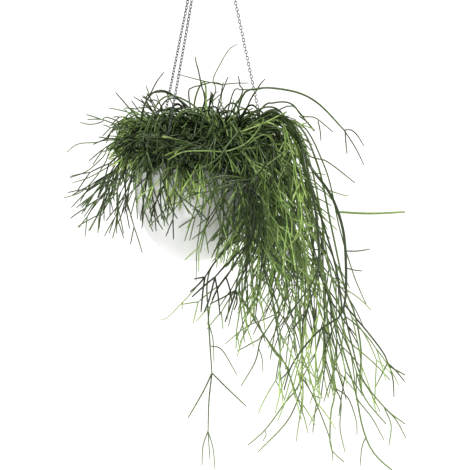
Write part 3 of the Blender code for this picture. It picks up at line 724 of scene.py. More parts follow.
@dataclass
class Bunch:
    """Stems of one spray that share a rule. Lengths are in centimetres, angles in degrees."""

    stems: int
    bearing: tuple  # seen from above, from +X
    reach: tuple  # from the pot's axis to where they hang
    drop: tuple  # from the rim down to where the main stem ends
    joints: int = 1  # places along a stem where a pair of limbs leaves it
    orders: int = 2  # times that its end forks
    limb: tuple = (3.0, 6.0)  # length of a limb
    pitch: tuple = (25, 50)  # above the level as a stem leaves its crown
    youth: tuple = (0.05, 0.60)  # at the root and at the last tip, from 0, old, to 1
    lean: tuple = (12, 40)  # between a limb and the stem that it leaves
    forks: int = 3  # limbs at the first fork; each later fork has two
    rise: tuple = (1.0, 3.5)  # how far a stem runs straight before it droops
    bend: float = 24.0  # how far a limb runs on before it hangs down
    drift: float = 0.0  # how far the hanging part leans outward, as a share of its drop
    swing: float = 0.0  # most that a stem turns round the pot's axis on its way
    tone: float = 0.55  # how light its stems are, from 0 to 1


def curtain(stems, bearing, reach, drop, limb, pitch, orders=3, **more):
    """A bunch of main stems that hang down, with two pairs of limbs on their way."""
    return Bunch(stems, bearing, reach, drop, 2, orders, limb, pitch, **more)


def strands(stems, bearing, reach, drop, pitch, drift):
    """A bunch of long strands that hang far down and fork widely."""
    rule = {"youth": (0.10, 0.72), "lean": (14, 40), "forks": 2, "bend": 15.0}
    return Bunch(stems, bearing, reach, drop, 1, 3, (6.4, 12.4), pitch, drift=drift, **rule)


def fringe(stems, bearing, reach, drop, limb, pitch, **more):
    """A bunch of short stems that stand out past the rim and fork finely."""
    rule = {"lean": (6, 30), "forks": 2, "tone": 0.45}
    return Bunch(stems, bearing, reach, drop, 1, 2, limb, pitch, **rule, **more)


def arches(stems, bearing, reach, pitch, **more):
    """A bunch of short arched stems that cross each other over the soil and the rim."""
    rule = {"limb": (2.5, 6.5), "youth": (0.16, 0.45), "forks": 2, "rise": (0.5, 5), "bend": 12.0}
    return Bunch(stems, bearing, reach, (-1, 2.5), 0, 1, pitch=pitch, tone=0.38, **(rule | more))


def rim_cover(stems, bearing):
    """A bunch of old stems that leave low over the rim and lie along it, darkened beyond their age by a low
    tone as painted shade under the canopy.
    """
    rule = {"limb": (1.5, 3.2), "pitch": (0, 25), "youth": (0, 0.2), "lean": (30, 80), "forks": 2}
    # painted shade: the tone of 0.14 darkens these stems under the canopy
    way = {"rise": (0.5, 2), "bend": 20.0, "swing": 85.0, "tone": 0.14}
    return Bunch(stems, bearing, (11.2, 12.0), (-0.6, 1.5), 1, 1, **rule, **way)


BUNCHES = {
    "right_front": [
        curtain(9, (308, 338), (13, 18), (2, 19), (4, 8), (35, 54), swing=8.0),
        strands(4, (306, 340), (14, 20), (10, 30), (35, 52), 0.10),
        arches(16, (130, 480), (5, 15), (20, 60)),
    ],
    "right": [
        curtain(9, (342, 364), (13, 17.5), (2, 19), (4, 7.5), (35, 52), swing=8.0),
        strands(5, (342, 364), (15, 20), (12, 34), (35, 50), 0.12),
        arches(18, (170, 530), (5, 17), (20, 60)),
        arches(9, (335, 385), (17, 23), (38, 55)),
        arches(14, (320, 400), (12, 18), (42, 62)),
    ],
    "right_back": [
        curtain(7, (0, 37), (12, 17.5), (2, 18), (4, 7), (30, 48), youth=(0.0, 0.5)),
        strands(4, (4, 38), (14, 20), (10, 29), (30, 46), 0.12),
        arches(26, (-150, 180), (5, 16), (20, 60)),
    ],
    "back_right": [
        curtain(9, (33, 80), (12, 19), (2, 16), (3, 7), (28, 46), youth=(0.0, 0.4)),
        arches(28, (-100, 230), (5, 16), (22, 60)),
        rim_cover(16, (36, 80)),
    ],
    "back": [
        curtain(9, (76, 122), (12, 16), (2, 9), (3, 6), (28, 46), 2, youth=(0.0, 0.4)),
        arches(24, (-60, 260), (5, 15), (22, 60)),
        rim_cover(22, (74, 124)),
    ],
    "back_left": [
        curtain(8, (118, 157), (12, 17), (1, 6), (3, 6), (28, 48), 2, youth=(0.0, 0.45)),
        arches(22, (0, 290), (5, 15), (20, 58)),
        rim_cover(14, (120, 158)),
    ],
    "left": [
        Bunch(
            7, (162, 212), (10.5, 13), (1.5, 5.4), 0, 3, (3.8, 6.8), (20, 40), (0, 0.25), (10, 32), 2,
            bend=30.0, drift=0.22, tone=0.42,
        ),
        fringe(16, (145, 208), (12, 16.8), (-1.0, 0.8), (1.6, 3.4), (18, 42), youth=(0, 0.45), bend=6.0),
        fringe(28, (140, 205), (12.5, 17.8), (-2.6, -0.2), (1.6, 3.6), (28, 46), youth=(0, 0.4), bend=5.0),
        arches(19, (150, 205), (10, 15.5), (26, 46), youth=(0, 0.4), swing=25.0),
        Bunch(12, (176, 202), (13, 16.5), (0.6, 3.0), 1, 2, (1.2, 2.8), (14, 34), (0.2, 0.85), bend=9.0),
    ],
    "front_left": [
        Bunch(
            6, (203, 246), (11.5, 13.8), (0, 4.0), 0, 3, (3.2, 5.4), (22, 42), (0, 0.3), (10, 38), 2,
            swing=12.0, drift=0.15, tone=0.45,
        ),
        arches(14, (160, 240), (7, 14), (15, 45), swing=25.0),
        arches(5, (195, 235), (10.8, 12.6), (0, 22), lean=(30, 70), bend=20.0, swing=40.0),
        rim_cover(14, (200, 242)),
    ],
    "front": [
        Bunch(
            12, (238, 284), (11.6, 13.4), (1.5, 4.8), 0, 2, (2.6, 5.2), (20, 50), (0, 0.8), (12, 44),
            swing=22.0, tone=0.5,
        ),
        arches(16, (150, 390), (4, 13), (8, 50), swing=25.0),
        rim_cover(38, (225, 285)),
    ],
    "front_right": [
        Bunch(
            10, (288, 316), (12, 15.5), (1, 9), 1, 3, (3.5, 6.5), (28, 50), (0.05, 0.6), (12, 40),
            swing=8.0,
        ),
        arches(16, (130, 440), (4, 14), (15, 55), swing=25.0),
        rim_cover(30, (262, 318)),
    ],
}


# Stems that follow the photograph


@dataclass
class Single:
    """One stem of the photographed plant, through pixels of the photograph.

    Each point is (across, down, centimetres in front of the chains' plane). A rooted stem starts in its
    spray's crown, and a branch starts on a stem before it.
    """

    points: list
    thickness: float = 3.0  # millimetres at its root
    youth: tuple = (0.15, 0.45)
    joints: int = 0
    orders: int = 0
    limb: tuple = (2.5, 5.0)
    rooted: bool = True


def branch(points, thickness=2.8, youth=(0.15, 0.45), **more):
    """A single stem that starts on one before it."""
    return Single(points, thickness, youth, rooted=False, **more)


def fork(start, limbs, *numbers):
    """Branches of the same numbers that start at one point, each with its further points."""
    return [branch([start, *points], *numbers) for points in limbs]


def along_rim(points, thickness=3.6, youth=(0, 0.15)):
    """A single old stem with short limbs that lies along the rim."""
    return Single(points, thickness, youth, 4, 1, (1.5, 3))


SINGLES = {
    "right": [
        Single([
            (242, 97, 1.4), (258, 89, 1.7), (272, 88, 1.9), (299, 93, 2), (320, 105, 2), (345, 131, 2),
        ], 4.0),
        branch([(345, 130, 2), (346, 144, 2), (347, 154, 1.9)], 2.6),
        *fork((344, 130, 2), [
            [(351, 130, 2.1), (357, 135, 2.2), (364, 146, 2.2)],
            [(355, 147, 1.9), (364, 165, 1.8)],
        ], 2.6),
        Single([
            (270, 112, 5), (296, 138, 12), (310, 166, 18), (329, 192, 20), (340, 218, 20), (345, 245, 19),
            (346, 290, 16), (343, 312, 14),
        ], 5.8, (0.04, 0.16)),
        branch([(338.5, 212, 20), (370, 213.5, 17), (405, 212, 15)], 4.2, (0.6, 0.7)),
        branch([(345, 251, 18.7), (358, 251, 17.7), (370, 249, 16.7)], 2.6),
        branch([(328, 190, 20), (343, 195, 19), (349, 195, 19)], 2.2, (0.5, 0.7)),
        branch([(346, 268, 17.5), (354, 270, 16.5), (362, 271, 15.5)], 2.4),
        Single([(290, 128, 2), (304, 151, 2), (314, 158, 2), (324, 160, 2), (335, 167, 2), (355, 183, 2)]),
        branch([(344, 304, 14.7), (370, 335, 13.2), (384, 354, 12.4), (390, 366, 12), (405, 375, 12)], 3.6),
        *fork((389, 364, 12), [
            [(397, 372, 12), (405, 382, 12)],
            [(393, 380, 12), (394, 397, 12)],
        ]),
        branch([(388, 362, 12), (382, 374, 12), (375, 388, 12)], 2.6, (0.4, 0.7)),
        branch([
            (343.5, 308, 14.4), (352, 345, 13.2), (362, 378, 12.4), (385, 408, 12), (405, 424, 12),
        ], 3.4, (0.3, 0.6)),
        branch([(384, 407, 12), (396, 420, 12), (406, 438, 12)], 2.6, (0.4, 0.6)),
        branch([(384, 407, 12), (391, 425, 12), (389, 445, 12)], 2.6, (0.5, 0.7)),
        Single([
            (283, 122, 6), (304, 165, 12), (316, 235, 15), (330, 300, 15), (343, 350, 14.4),
            (355, 390, 13.5), (362, 425, 13), (370, 447, 12.5), (380, 460, 12), (392, 470, 12),
        ], 4.2, (0.3, 0.6)),
        branch([(355, 389, 13.5), (358, 400, 13), (372, 418, 12.5), (384, 440, 12)], 2.6, (0.4, 0.6)),
        branch([(366, 437, 12.7), (362, 447, 12.5), (360, 466, 12)], 2.2, (0.4, 0.6)),
        Single([
            (290, 122, 5), (316, 160, 10), (332, 230, 12), (344, 285, 12), (355, 315, 12), (361, 350, 12),
            (360, 382, 11.5), (366, 400, 11.5), (386, 424, 11),
        ], 3.8, (0.2, 0.6)),
        Single([
            (292, 120, 4), (324, 165, 8), (340, 230, 10), (352, 270, 10), (358, 286, 10), (366, 304, 10),
        ], 2.8, (0.2, 0.5)),
        Single([
            (288, 122, 5), (312, 170, 11), (328, 260, 13), (340, 310, 13), (347, 338, 13), (366, 356, 12.5),
            (377, 366, 12), (390, 380, 12),
        ], 3.6, (0.3, 0.7)),
        Single([
            (262, 108, 0), (273, 103, 0), (285, 102, 0), (293, 105, 0), (299, 112, 0), (314, 131, 0),
        ], 3.4),
        Single([(285, 107, 1), (302, 116, 1), (313, 117, 1), (320, 121, 1), (333, 132, 1)]),
        branch([(318, 121, 1), (320, 130, 1), (321, 141, 1)], 2.6),
        branch([(299, 116, 1), (307, 122, 1), (315, 131, 1)], 2.6),
        Single([(250, 101, 0.4), (255, 93, 0.4), (260.5, 84, 0.5), (265, 79, 0.5)], 3.2, (0.1, 0.3)),
    ],
    "right_front": [
        Single([
            (278, 118, 6), (298, 136, 14), (307, 173, 19.5), (316, 214, 21), (319, 251, 21), (318, 272, 21),
        ], 5.8, (0.02, 0.12), orders=3, limb=(4, 7)),
        Single([
            (280, 118, 6), (296, 145, 10.5), (301, 175, 13), (304, 205, 14),
        ], 3.2, (0.5, 0.7), joints=5, orders=2),
        Single([
            (276, 120, 6), (291, 150, 11.5), (298, 185, 14.5), (302, 215, 15.5),
        ], 3.2, (0.45, 0.7), joints=5, orders=2),
        Single([
            (275, 130, 6), (290, 190, 10), (296, 260, 12), (300, 320, 12), (301, 378, 12), (284, 404, 12),
            (265, 430, 12), (248, 445, 12),
        ], 3.2, (0.3, 0.6)),
        branch([(265, 430, 12), (266, 435, 12), (263, 441, 12)], 2.0, (0.5, 0.7)),
        branch([(301, 376, 12), (302, 386, 12), (288, 420, 12), (258, 452, 12)], 2.8, (0.3, 0.6)),
        branch([
            (301, 376, 12), (312, 394, 12), (325, 425, 12), (331, 444, 12), (333, 461, 12),
        ], 2.8, (0.4, 0.7)),
        Single([(285, 113, 6), (262, 124, 8), (240, 132, 8.5)], 3.0, (0.5, 0.8)),
        Single([
            (270, 135, 8), (268, 200, 14), (248, 262, 16.4), (239, 288, 16.8), (252, 315, 16.8),
            (264, 335, 16.8), (280, 357, 16.6), (290, 371, 16.5),
        ], 3.8, (0.1, 0.5)),
        branch([(263, 333, 16.8), (275, 353, 16.8), (284, 362, 16.6), (288, 372, 16.5)], 3.0, (0.4, 0.7)),
        branch([(280, 356, 16.6), (281, 363, 16.6), (277, 380, 16.4)], 2.2, (0.4, 0.7)),
        Single([
            (280, 130, 8), (292, 200, 13), (290, 280, 15), (266, 331, 16), (252, 343, 16), (237, 351, 16),
        ], 3.2, (0.1, 0.5)),
        branch([(266, 331, 16), (260, 342, 16), (255, 362, 16), (241, 386, 16)], 2.6, (0.3, 0.6)),
        branch([(258, 347, 16), (262, 358, 16), (263, 372, 16)], 2.2, (0.3, 0.6)),
        branch([(280, 312, 15.5), (265, 319, 16), (246, 327, 16.4), (225, 344, 16.4)], 2.6, (0.3, 0.6)),
        Single([
            (290, 130, 8), (312, 190, 14), (334, 260, 17), (341, 300, 17), (340, 316, 17), (322, 328, 17),
            (305, 346, 17), (291, 367, 16.8), (284, 390, 16.6),
        ], 4.0, (0.02, 0.2)),
        *fork((322, 328, 17), [
            [(324, 338, 17), (325, 352, 17)],
            [(330, 336, 17), (334, 346, 17)],
        ], 2.6, (0.1, 0.3)),
        branch([(291, 367, 16.8), (289, 371, 16.8), (280, 380, 16.8)], 2.6, (0.1, 0.3)),
        Single([
            (282, 130, 8), (298, 200, 13), (308, 290, 14), (304, 330, 14), (302, 365, 14), (303, 390, 14),
            (302, 414, 14),
        ], 3.8, (0.3, 0.8)),
        branch([(302, 372, 14), (312, 394, 14), (320, 400, 14), (309, 426, 14)], 2.6, (0.4, 0.8)),
        branch([(303, 395, 14), (300, 415, 14), (296, 442, 14)], 2.4, (0.4, 0.8)),
        Single([
            (286, 130, 8), (310, 200, 13), (324, 290, 15), (330, 345, 15), (335, 390, 14.5),
            (331, 412, 14.5), (330, 443, 14), (333, 452, 14), (344, 462, 13.6),
        ], 3.6, (0.2, 0.7)),
        *fork((335, 388, 14.5), [
            [(341, 402, 14.5), (340, 428, 14.5), (345, 452, 14.3)],
            [(348, 398, 14.5), (356, 420, 14.5), (357, 435, 14.3)],
        ], 2.6, (0.3, 0.7)),
    ],
    "front_right": [
        Single([
            (236, 140, 11), (247, 190, 14), (243, 225, 14.5), (227, 249, 15), (212, 266, 15),
            (207, 285, 15), (208, 310, 15), (210, 345, 15), (212, 374, 15),
        ], 3.4, (0.12, 0.4)),
        *fork((212, 373, 15), [
            [(203, 392, 15), (188, 418, 15)],
            [(228, 389, 15), (246, 406, 15)],
            [(209, 400, 15), (208, 432, 15)],
        ], 2.8, (0.3, 0.5)),
        branch([(208, 431, 15), (203, 446, 15), (202, 465, 15)], 2.3, (0.45, 0.6)),
        branch([(208, 431, 15), (209, 446, 15), (210, 460, 15)], 2.2, (0.45, 0.6)),
        branch([(208, 431, 15), (213, 448, 15), (215, 469, 15)], 2.3, (0.45, 0.6)),
        branch([(209, 324, 15), (213, 340, 15), (214, 362, 15)], 2.3, (0.35, 0.6)),
        branch([(211, 346, 15), (222, 350, 15), (237, 375, 15)], 2.3, (0.35, 0.6)),
        Single([
            (246, 186, 15.5), (248, 232, 17.4), (230, 245, 17.8), (215, 262, 17.6), (205, 277, 17.2),
        ], 4.6, (0.0, 0.06)),
        *fork((205, 277, 17.2), [
            [(199, 278, 16.6), (194, 279, 16.7)],
            [(198, 285, 16.6), (190, 292, 16.6)],
            [(203, 290, 16.6), (201, 312, 16.6)],
        ], 3.5, (0.0, 0.12)),
        Single([
            (250, 186, 15), (252, 234, 17.2), (237, 254, 17.6), (224, 267, 17), (215, 277, 16.6),
        ], 4.6, (0.0, 0.06)),
        *fork((215, 277, 16.6), [
            [(204, 286, 16), (192, 297, 16)],
            [(218, 295, 16), (220, 315, 16)],
        ], 3.5, (0.0, 0.12)),
        branch([(215, 277, 16.6), (209, 300, 16), (204, 312, 16)], 3.3, (0.0, 0.12)),
        Single([(254, 190, 14.6), (253, 236, 17), (240, 255, 17.4), (226, 278, 16.4)], 4.4, (0.0, 0.06)),
        Single([
            (258, 190, 14.2), (258, 240, 16.6), (249, 262, 17), (239, 281, 16.6), (236, 290, 16.4),
        ], 4.2, (0.0, 0.06)),
        *fork((226, 277, 16.4), [
            [(218, 288, 15), (212, 300, 15)],
            [(230, 290, 15), (232, 304, 15)],
        ], 3.5, (0.0, 0.12)),
        branch([(236, 290, 16.4), (231, 305, 15), (225, 322, 15)], 3.5, (0.0, 0.12)),
        *fork((236, 290, 16.4), [
            [(224, 297, 16.4), (210, 304, 16.4)],
            [(237, 302, 16.4), (234, 310, 16.4)],
        ], 3.2, (0.0, 0.12)),
        branch([(196, 288, 16.6), (180, 305, 16.8), (168, 317, 17), (161, 320, 17)], 2.0, (0.6, 0.8)),
        branch([(183, 302, 16.8), (182, 306, 16.8), (183, 310, 16.8)], 1.8, (0.6, 0.8)),
        Single([
            (262, 118, 8), (250, 140, 12), (228, 151, 12.8), (205, 151, 13), (183, 152, 13.2),
            (168, 160, 13.4),
        ], 3.4, (0.3, 0.7)),
        Single([(240, 128, 10), (226, 147, 13), (216, 160, 14), (196, 171, 14.6)], 3.2, (0.3, 0.4)),
        Single([
            (238, 154, 11.8), (245, 147, 12), (258, 137, 12), (266, 135, 12), (274, 142, 12.2),
            (281, 157, 12.4), (293, 167, 12.6),
        ], 3.4, (0.4, 0.5)),
        Single([(286, 145, 11), (258, 172, 14.5), (250, 185, 15.4), (247, 200, 15.6)], 3.2, (0.4, 0.5)),
        Single([
            (262, 140, 9), (266, 162, 14), (252, 178, 17), (232, 181, 17.6), (214, 188, 17.6),
        ], 3.8, (0.0, 0.15), joints=2),
        branch([
            (252, 179, 16.6), (234, 183, 17.6), (218, 190, 18), (208, 199, 18),
        ], 3.3, (0.05, 0.25), joints=1, limb=(2, 4)),
        branch([(250, 180, 16.8), (234, 188, 17.8), (222, 197, 18), (214, 210, 18)], 3.3, (0.05, 0.2)),
        branch([
            (250, 180, 16.8), (238, 193, 17.8), (229, 208, 18), (222, 226, 18),
        ], 3.3, (0.02, 0.18), orders=1),
        branch([(250, 181, 16.8), (240, 200, 17.8), (230, 222, 18), (217, 245, 18)], 3.6, (0.0, 0.12)),
        branch([
            (250, 181, 16.8), (238, 177, 17.6), (222, 176, 17.8), (206, 180, 17.8),
        ], 3.0, (0.15, 0.4), orders=1),
        branch([(250, 181, 16.8), (247, 205, 17.4), (234, 228, 17.8), (214, 251, 18)], 3.6, (0.0, 0.12)),
        branch([(252, 180, 16.8), (262, 200, 17.2), (268, 226, 17.2)], 3.2, (0.1, 0.35), orders=2),
    ],
    "front": [
        along_rim([
            (185, 136, 9), (166, 137, 9.6), (155, 139, 8.7), (165, 143, 10), (180, 145, 11.1),
            (197, 147, 11.6), (214, 147, 11.5),
        ]),
        along_rim([
            (214, 137, 9), (222, 142, 10.9), (212, 146, 11.6), (196, 146, 11.8), (178, 144, 11.2),
            (160, 141, 9.6),
        ]),
        along_rim([
            (178, 137, 9), (164, 140, 9.8), (172, 147, 10.8), (186, 150, 11.6), (205, 149, 11.9),
            (220, 145, 11.3),
        ]),
        along_rim([
            (195, 137, 9), (206, 141, 11.4), (198, 148, 12), (184, 148, 11.6), (168, 146, 10.5),
            (154, 143, 8.6),
        ], 3.4, (0, 0.2)),
        Single([
            (205, 150, 12), (204, 190, 13.6), (201, 220, 14), (197, 250, 14), (196, 281, 13.6),
        ], 2.2, (0.2, 0.4)),
    ],
    "front_left": [
        Single([
            (172, 125, 7), (163, 120, 9), (154, 124, 11), (149, 138, 12), (147, 152, 12.4),
        ], 3.0, (0, 0.2), orders=1),
        Single([
            (180, 125, 7), (172, 118, 9.5), (162, 121, 11.5), (158, 131, 12.4), (157, 147, 12.8),
        ], 3.0, (0, 0.2)),
        Single([
            (166, 122, 6), (160, 116, 9), (152, 117, 10.5), (146, 128, 11.6), (143, 142, 12),
        ], 3.0, (0, 0.3)),
        along_rim([
            (172, 135, 8), (156, 137, 8.2), (147, 140, 7.2), (152, 144, 8.2), (165, 147, 9.9),
            (182, 149, 11.2), (203, 150, 11.7),
        ]),
        along_rim([
            (160, 133, 5), (146, 135, 6.2), (141, 139, 5.8), (148, 144, 7.6), (158, 149, 9.2),
            (170, 154, 10.6),
        ], 3.6, (0, 0.2)),
        along_rim([
            (165, 133, 6), (150, 135, 7), (143, 140, 6.4), (142, 146, 6.4), (150, 150, 8.2), (163, 152, 10),
        ], 3.4, (0, 0.2)),
    ],
    "left": [
        Single([(110, 118, 0), (102, 122, 0.4), (90, 124.4, 0.6), (80, 122.3, 0.6)], 2.6, (0.2, 0.4)),
        Single([(112, 140, 1), (96, 142.4, 1), (78, 144, 1), (66.5, 152.3, 1)], 2.6, (0.3, 0.5)),
        Single([(115, 142, 2), (103, 157, 2), (87, 171, 2), (69.5, 178, 2)], 2.4, (0.3, 0.5)),
        Single([
            (118, 145, 2.4), (105, 163, 2.4), (96, 177, 2.4), (81, 192, 2.4), (63.5, 198, 2.4),
        ], 2.6, (0.3, 0.5)),
        Single([(128, 150, 3), (114, 163, 3), (90, 177, 3), (72, 183, 3)], 2.4, (0.3, 0.5)),
        Single([
            (128, 145, 4), (115, 178, 5), (105, 192, 5), (93, 204, 5), (84, 217, 5),
        ], 2.8, (0.2, 0.4), joints=2),
        Single([(131, 110, -1), (124, 102, -1), (115.5, 92.4, -1)], 3.0, (0.1, 0.3)),
    ],
    "back_left": [
        Single([(147, 102, -3), (151, 93, -3), (156.5, 82, -3.2), (164, 72, -3.4)], 3.2, (0.1, 0.3)),
        branch([(151, 93, -3), (162.7, 92, -3), (169, 94, -3), (176, 97, -3)], 2.8, (0.1, 0.3)),
        Single([(160, 104, -3), (149, 100, -3), (142, 97, -3)], 2.8, (0.1, 0.3)),
        Single([(160, 104, -4), (158, 99, -4), (156.5, 94, -4)], 2.6, (0.1, 0.3)),
    ],
    "back": [
        Single([
            (204.5, 102, -2), (201.5, 86, -2), (198.5, 71, -2), (196, 62, -2), (195.6, 57, -2),
        ], 3.2, (0.1, 0.3)),
        Single([
            (214.7, 94, -3), (213, 80, -3), (220, 64.5, -3), (229, 49.5, -3), (237, 44.4, -3),
        ], 2.2, (0.3, 0.5)),
        Single([
            (188.7, 95, -3), (192.5, 87.6, -3), (201, 85.3, -3), (210, 82.7, -3), (218, 83, -3),
            (223, 85, -3),
        ], 3.0, (0.1, 0.3)),
        branch([(220.8, 84.5, -3), (201, 80.4, -3), (177, 74, -3)], 2.2, (0.3, 0.5)),
        branch([(220.8, 85, -3), (233, 83.3, -3), (248.4, 83, -3)], 2.4, (0.2, 0.4)),
    ],
    "back_right": [
        Single([(233, 93, -3), (240.7, 89.8, -3), (248.8, 89.5, -3)], 2.8, (0.1, 0.3)),
        Single([(241.5, 95, -3), (240, 86, -3), (238.4, 76, -3)], 3.0, (0.1, 0.3)),
    ],
}


# Growth


def crown_place(spray):
    """Where a spray roots in the soil: the middle of its sector, half way to the wall."""
    angle = math.radians(sum(SECTORS[spray]) / 2)
    depth = -SOIL_BELOW_RIM - ROOT_DEPTH
    return into_pot_frame(np.array((CROWN_REACH * math.cos(angle), CROWN_REACH * math.sin(angle), depth)))


def drawn_in(points):
    """Points whose depth past a kept distance is drawn in: kept + over times tanh(what is past / over)."""
    depth = np.abs(points[..., 1])
    past = np.maximum(depth - DEPTH_KEPT, 0)
    drawn = np.minimum(depth, DEPTH_KEPT) + DEPTH_OVER * np.tanh(past / DEPTH_OVER)
    points[..., 1] = np.sign(points[..., 1]) * drawn
    return points


def clear_of_pot(points):
    """Points moved out of the wall, up over the rim and up out of the soil, each by the distance it lacks."""
    x, y, z = np.moveaxis(points - RIM_CENTRE, -1, 0)
    reach = np.maximum(np.hypot(x, y), NEARLY_ZERO)
    over = z + math.tan(TILT) * x
    beside = np.where((over < 0) & (over > -POT_DEPTH), wall(np.clip(-over, 0, POT_DEPTH)) + CLEAR, 0.0)
    deep = over < -RIM_BAND
    goal = np.where(deep & (reach < beside), beside, reach)
    ground = SOIL_MOUND * (1 - (reach / POT_RADIUS) ** 2) - SOIL_BELOW_RIM
    at_rim = np.where(reach < POT_RADIUS + CLEAR, 0.0, NO_FLOOR)
    low = np.where(reach < POT_RADIUS - POT_WALL - CLEAR, ground, at_rim)
    lift = np.where(deep, 0.0, np.maximum(low + CLEAR - over, 0.0))
    share = goal / reach
    return np.stack([x * share, y * share, z + lift], axis=-1) + RIM_CENTRE


def settled(paths, fixed):
    """Paths drawn in, kept clear of the pot past their fixed points and smoothed twice."""
    paths = drawn_in(paths.copy())
    for _ in range(2):
        paths[:, fixed:] = clear_of_pot(paths[:, fixed:])
        paths[:, 1:-1] = (paths[:, :-2] + 2 * paths[:, 1:-1] + paths[:, 2:]) / 4
    return paths


def drooped(roots, ways, rises, droops, runs, hang, rings):
    """Curves that rise straight along their way, then bend until they hang.

    A point at run s past the rise is the rise plus way times droop (1 - e^(-s / droop)) plus the hanging way
    times what is left of s.
    """
    length = np.linspace(0, 1, rings) * (rises + runs)[:, None]
    straight = np.minimum(length, rises[:, None])
    past = length - straight
    carried = droops[:, None] * (1 - np.exp(-past / droops[:, None]))
    hanging = np.broadcast_to(hang, ways.shape)[:, None] * (past - carried)[..., None]
    return roots[:, None] + ways[:, None] * (straight + carried)[..., None] + hanging


def swaying(paths, rng):
    """Paths that wander by a sine of the length run, more towards their ends, in a way of their own."""
    steps = np.linalg.norm(np.diff(paths, axis=1), axis=-1)
    run = np.concatenate([np.zeros((len(paths), 1)), np.cumsum(steps, axis=1)], axis=1)
    across = unit(np.cross(paths[:, -1] - paths[:, 0], rng.normal(size=(len(paths), 3))))
    phase = rng.uniform(0, 2 * np.pi, (len(paths), 1))
    swing = SWAY * np.sin(run / SWAY_LENGTH * 2 * np.pi + phase) * np.minimum(run / SWAY_LENGTH, 1)
    return paths + across[:, None] * swing[..., None]


def main_stems(bunch, crown, rng):
    """Main stems from the crown over the rim: each one's droop and run are solved from its reach and drop."""
    count = bunch.stems
    bearing = np.radians(np.linspace(*bunch.bearing, count) + rng.normal(0, BEARING_JITTER, count))
    rng.shuffle(bearing)
    level = np.stack([np.cos(bearing), np.sin(bearing), np.zeros(count)], axis=-1)
    pitch = np.radians(rng.uniform(*bunch.pitch, count))
    rise, reach, drop = (rng.uniform(*span, count) / 100 for span in (bunch.rise, bunch.reach, bunch.drop))
    roots = crown + rng.normal(0, CROWN_SPREAD / 2, (count, 3)) * (1, 1, 0)
    out = (RIM_CENTRE + level * reach[:, None] - roots) * (1, 1, 0)
    distance = np.linalg.norm(out, axis=-1)
    ways = unit(out) * np.cos(pitch)[:, None] - DOWN * np.sin(pitch)[:, None]
    hang = unit(DOWN + level * bunch.drift)
    droop = np.maximum(distance / np.cos(pitch) - rise, LEAST_RUN)
    lift = roots[:, 2] - RIM_CENTRE[2] + drop + rise * np.sin(pitch)
    run = np.full(count, FIRST_RUN)
    for _ in range(RUN_ROUNDS):
        run = np.maximum(lift + droop * (1 + np.sin(pitch)) * (1 - np.exp(-run / droop)), LEAST_RUN)
    paths = drooped(roots, ways, rise, droop, run, hang, MAIN_RINGS)
    swung = np.radians(rng.uniform(-bunch.swing, bunch.swing, (count, 1)))
    swung = swung * np.linspace(0, 1, MAIN_RINGS) ** SWING_POWER
    x, y, z = np.moveaxis(paths - RIM_CENTRE, -1, 0)
    across, towards = x * np.cos(swung) - y * np.sin(swung), x * np.sin(swung) + y * np.cos(swung)
    return settled(swaying(np.stack([across, towards, z], axis=-1) + RIM_CENTRE, rng), 3)


def forks_of(paths, shares, around, lean, rng):
    """Places along the paths and the ways of the limbs that leave there.

    The limbs of one place are spread evenly round the stem's way, which each leaves at an angle of its own.
    """
    count, rings = paths.shape[:2]
    along = shares * (rings - 1)
    low = np.minimum(along.astype(int), rings - 2)
    row = np.arange(count)[:, None]
    before, after = paths[row, low], paths[row, low + 1]
    roots = before + (after - before) * (along - low)[..., None]
    way = unit(after - before)
    side = unit(np.cross(way, rng.normal(size=(*shares.shape, 3))))
    third = np.cross(way, side)
    turn = np.arange(around) * 2 * np.pi / around
    turn = turn + rng.uniform(-FORK_TURN, FORK_TURN, (*shares.shape, around))
    angle = np.radians(rng.uniform(*lean, (*shares.shape, around)))[..., None]
    spoke = side[:, :, None] * np.cos(turn)[..., None] + third[:, :, None] * np.sin(turn)[..., None]
    ways = way[:, :, None] * np.cos(angle) + spoke * np.sin(angle)
    return np.repeat(roots.reshape(-1, 3), around, axis=0), ways.reshape(-1, 3)


@dataclass
class Layer:
    """Stems of one order: their paths, thickness at both ends in millimetres, youth at both ends and tone."""

    paths: np.ndarray
    thickness: tuple
    youth: np.ndarray
    tone: np.ndarray
    sides: int


def branch_layer(parent, shares, around, rule, step, young, rng):
    """Limbs that leave each parent stem at the given shares of its length, a number of them at each.

    The step is how far the limbs are from the main stem's end to the last tip, as two shares: thickness and
    youth change by it, and later limbs are shorter.
    """
    roots, ways = forks_of(parent.paths, shares, around, rule.lean, rng)
    count = len(roots)
    runs = rng.uniform(*rule.limb, count) * (1 - SHORTER * step[0]) / 100
    bend = np.full(count, rule.bend / 100)
    paths = drooped(roots, ways, np.zeros(count), bend, runs, DOWN, LIMB_RINGS)
    own = parent.youth[:, :1] + (parent.youth[:, 1:] - parent.youth[:, :1]) * shares
    start = np.repeat(own.reshape(-1), around)
    goal = start + (young - start) * (step[1] - step[0]) / (1 - step[0])
    end = np.clip(start + (goal - start) * rng.uniform(*LIMB_YOUTH, count), 0, 1)
    tone = np.repeat(parent.tone, shares.shape[1] * around) + rng.normal(0, LIMB_TONE, count)
    thickness = tuple(MAIN_THICKNESS[1] + (TIP_THICKNESS - MAIN_THICKNESS[1]) * share for share in step)
    youth = np.stack([start, end], axis=-1)
    return Layer(settled(paths, 1), thickness, youth, np.clip(tone, 0, 1), LIMB_SIDES)


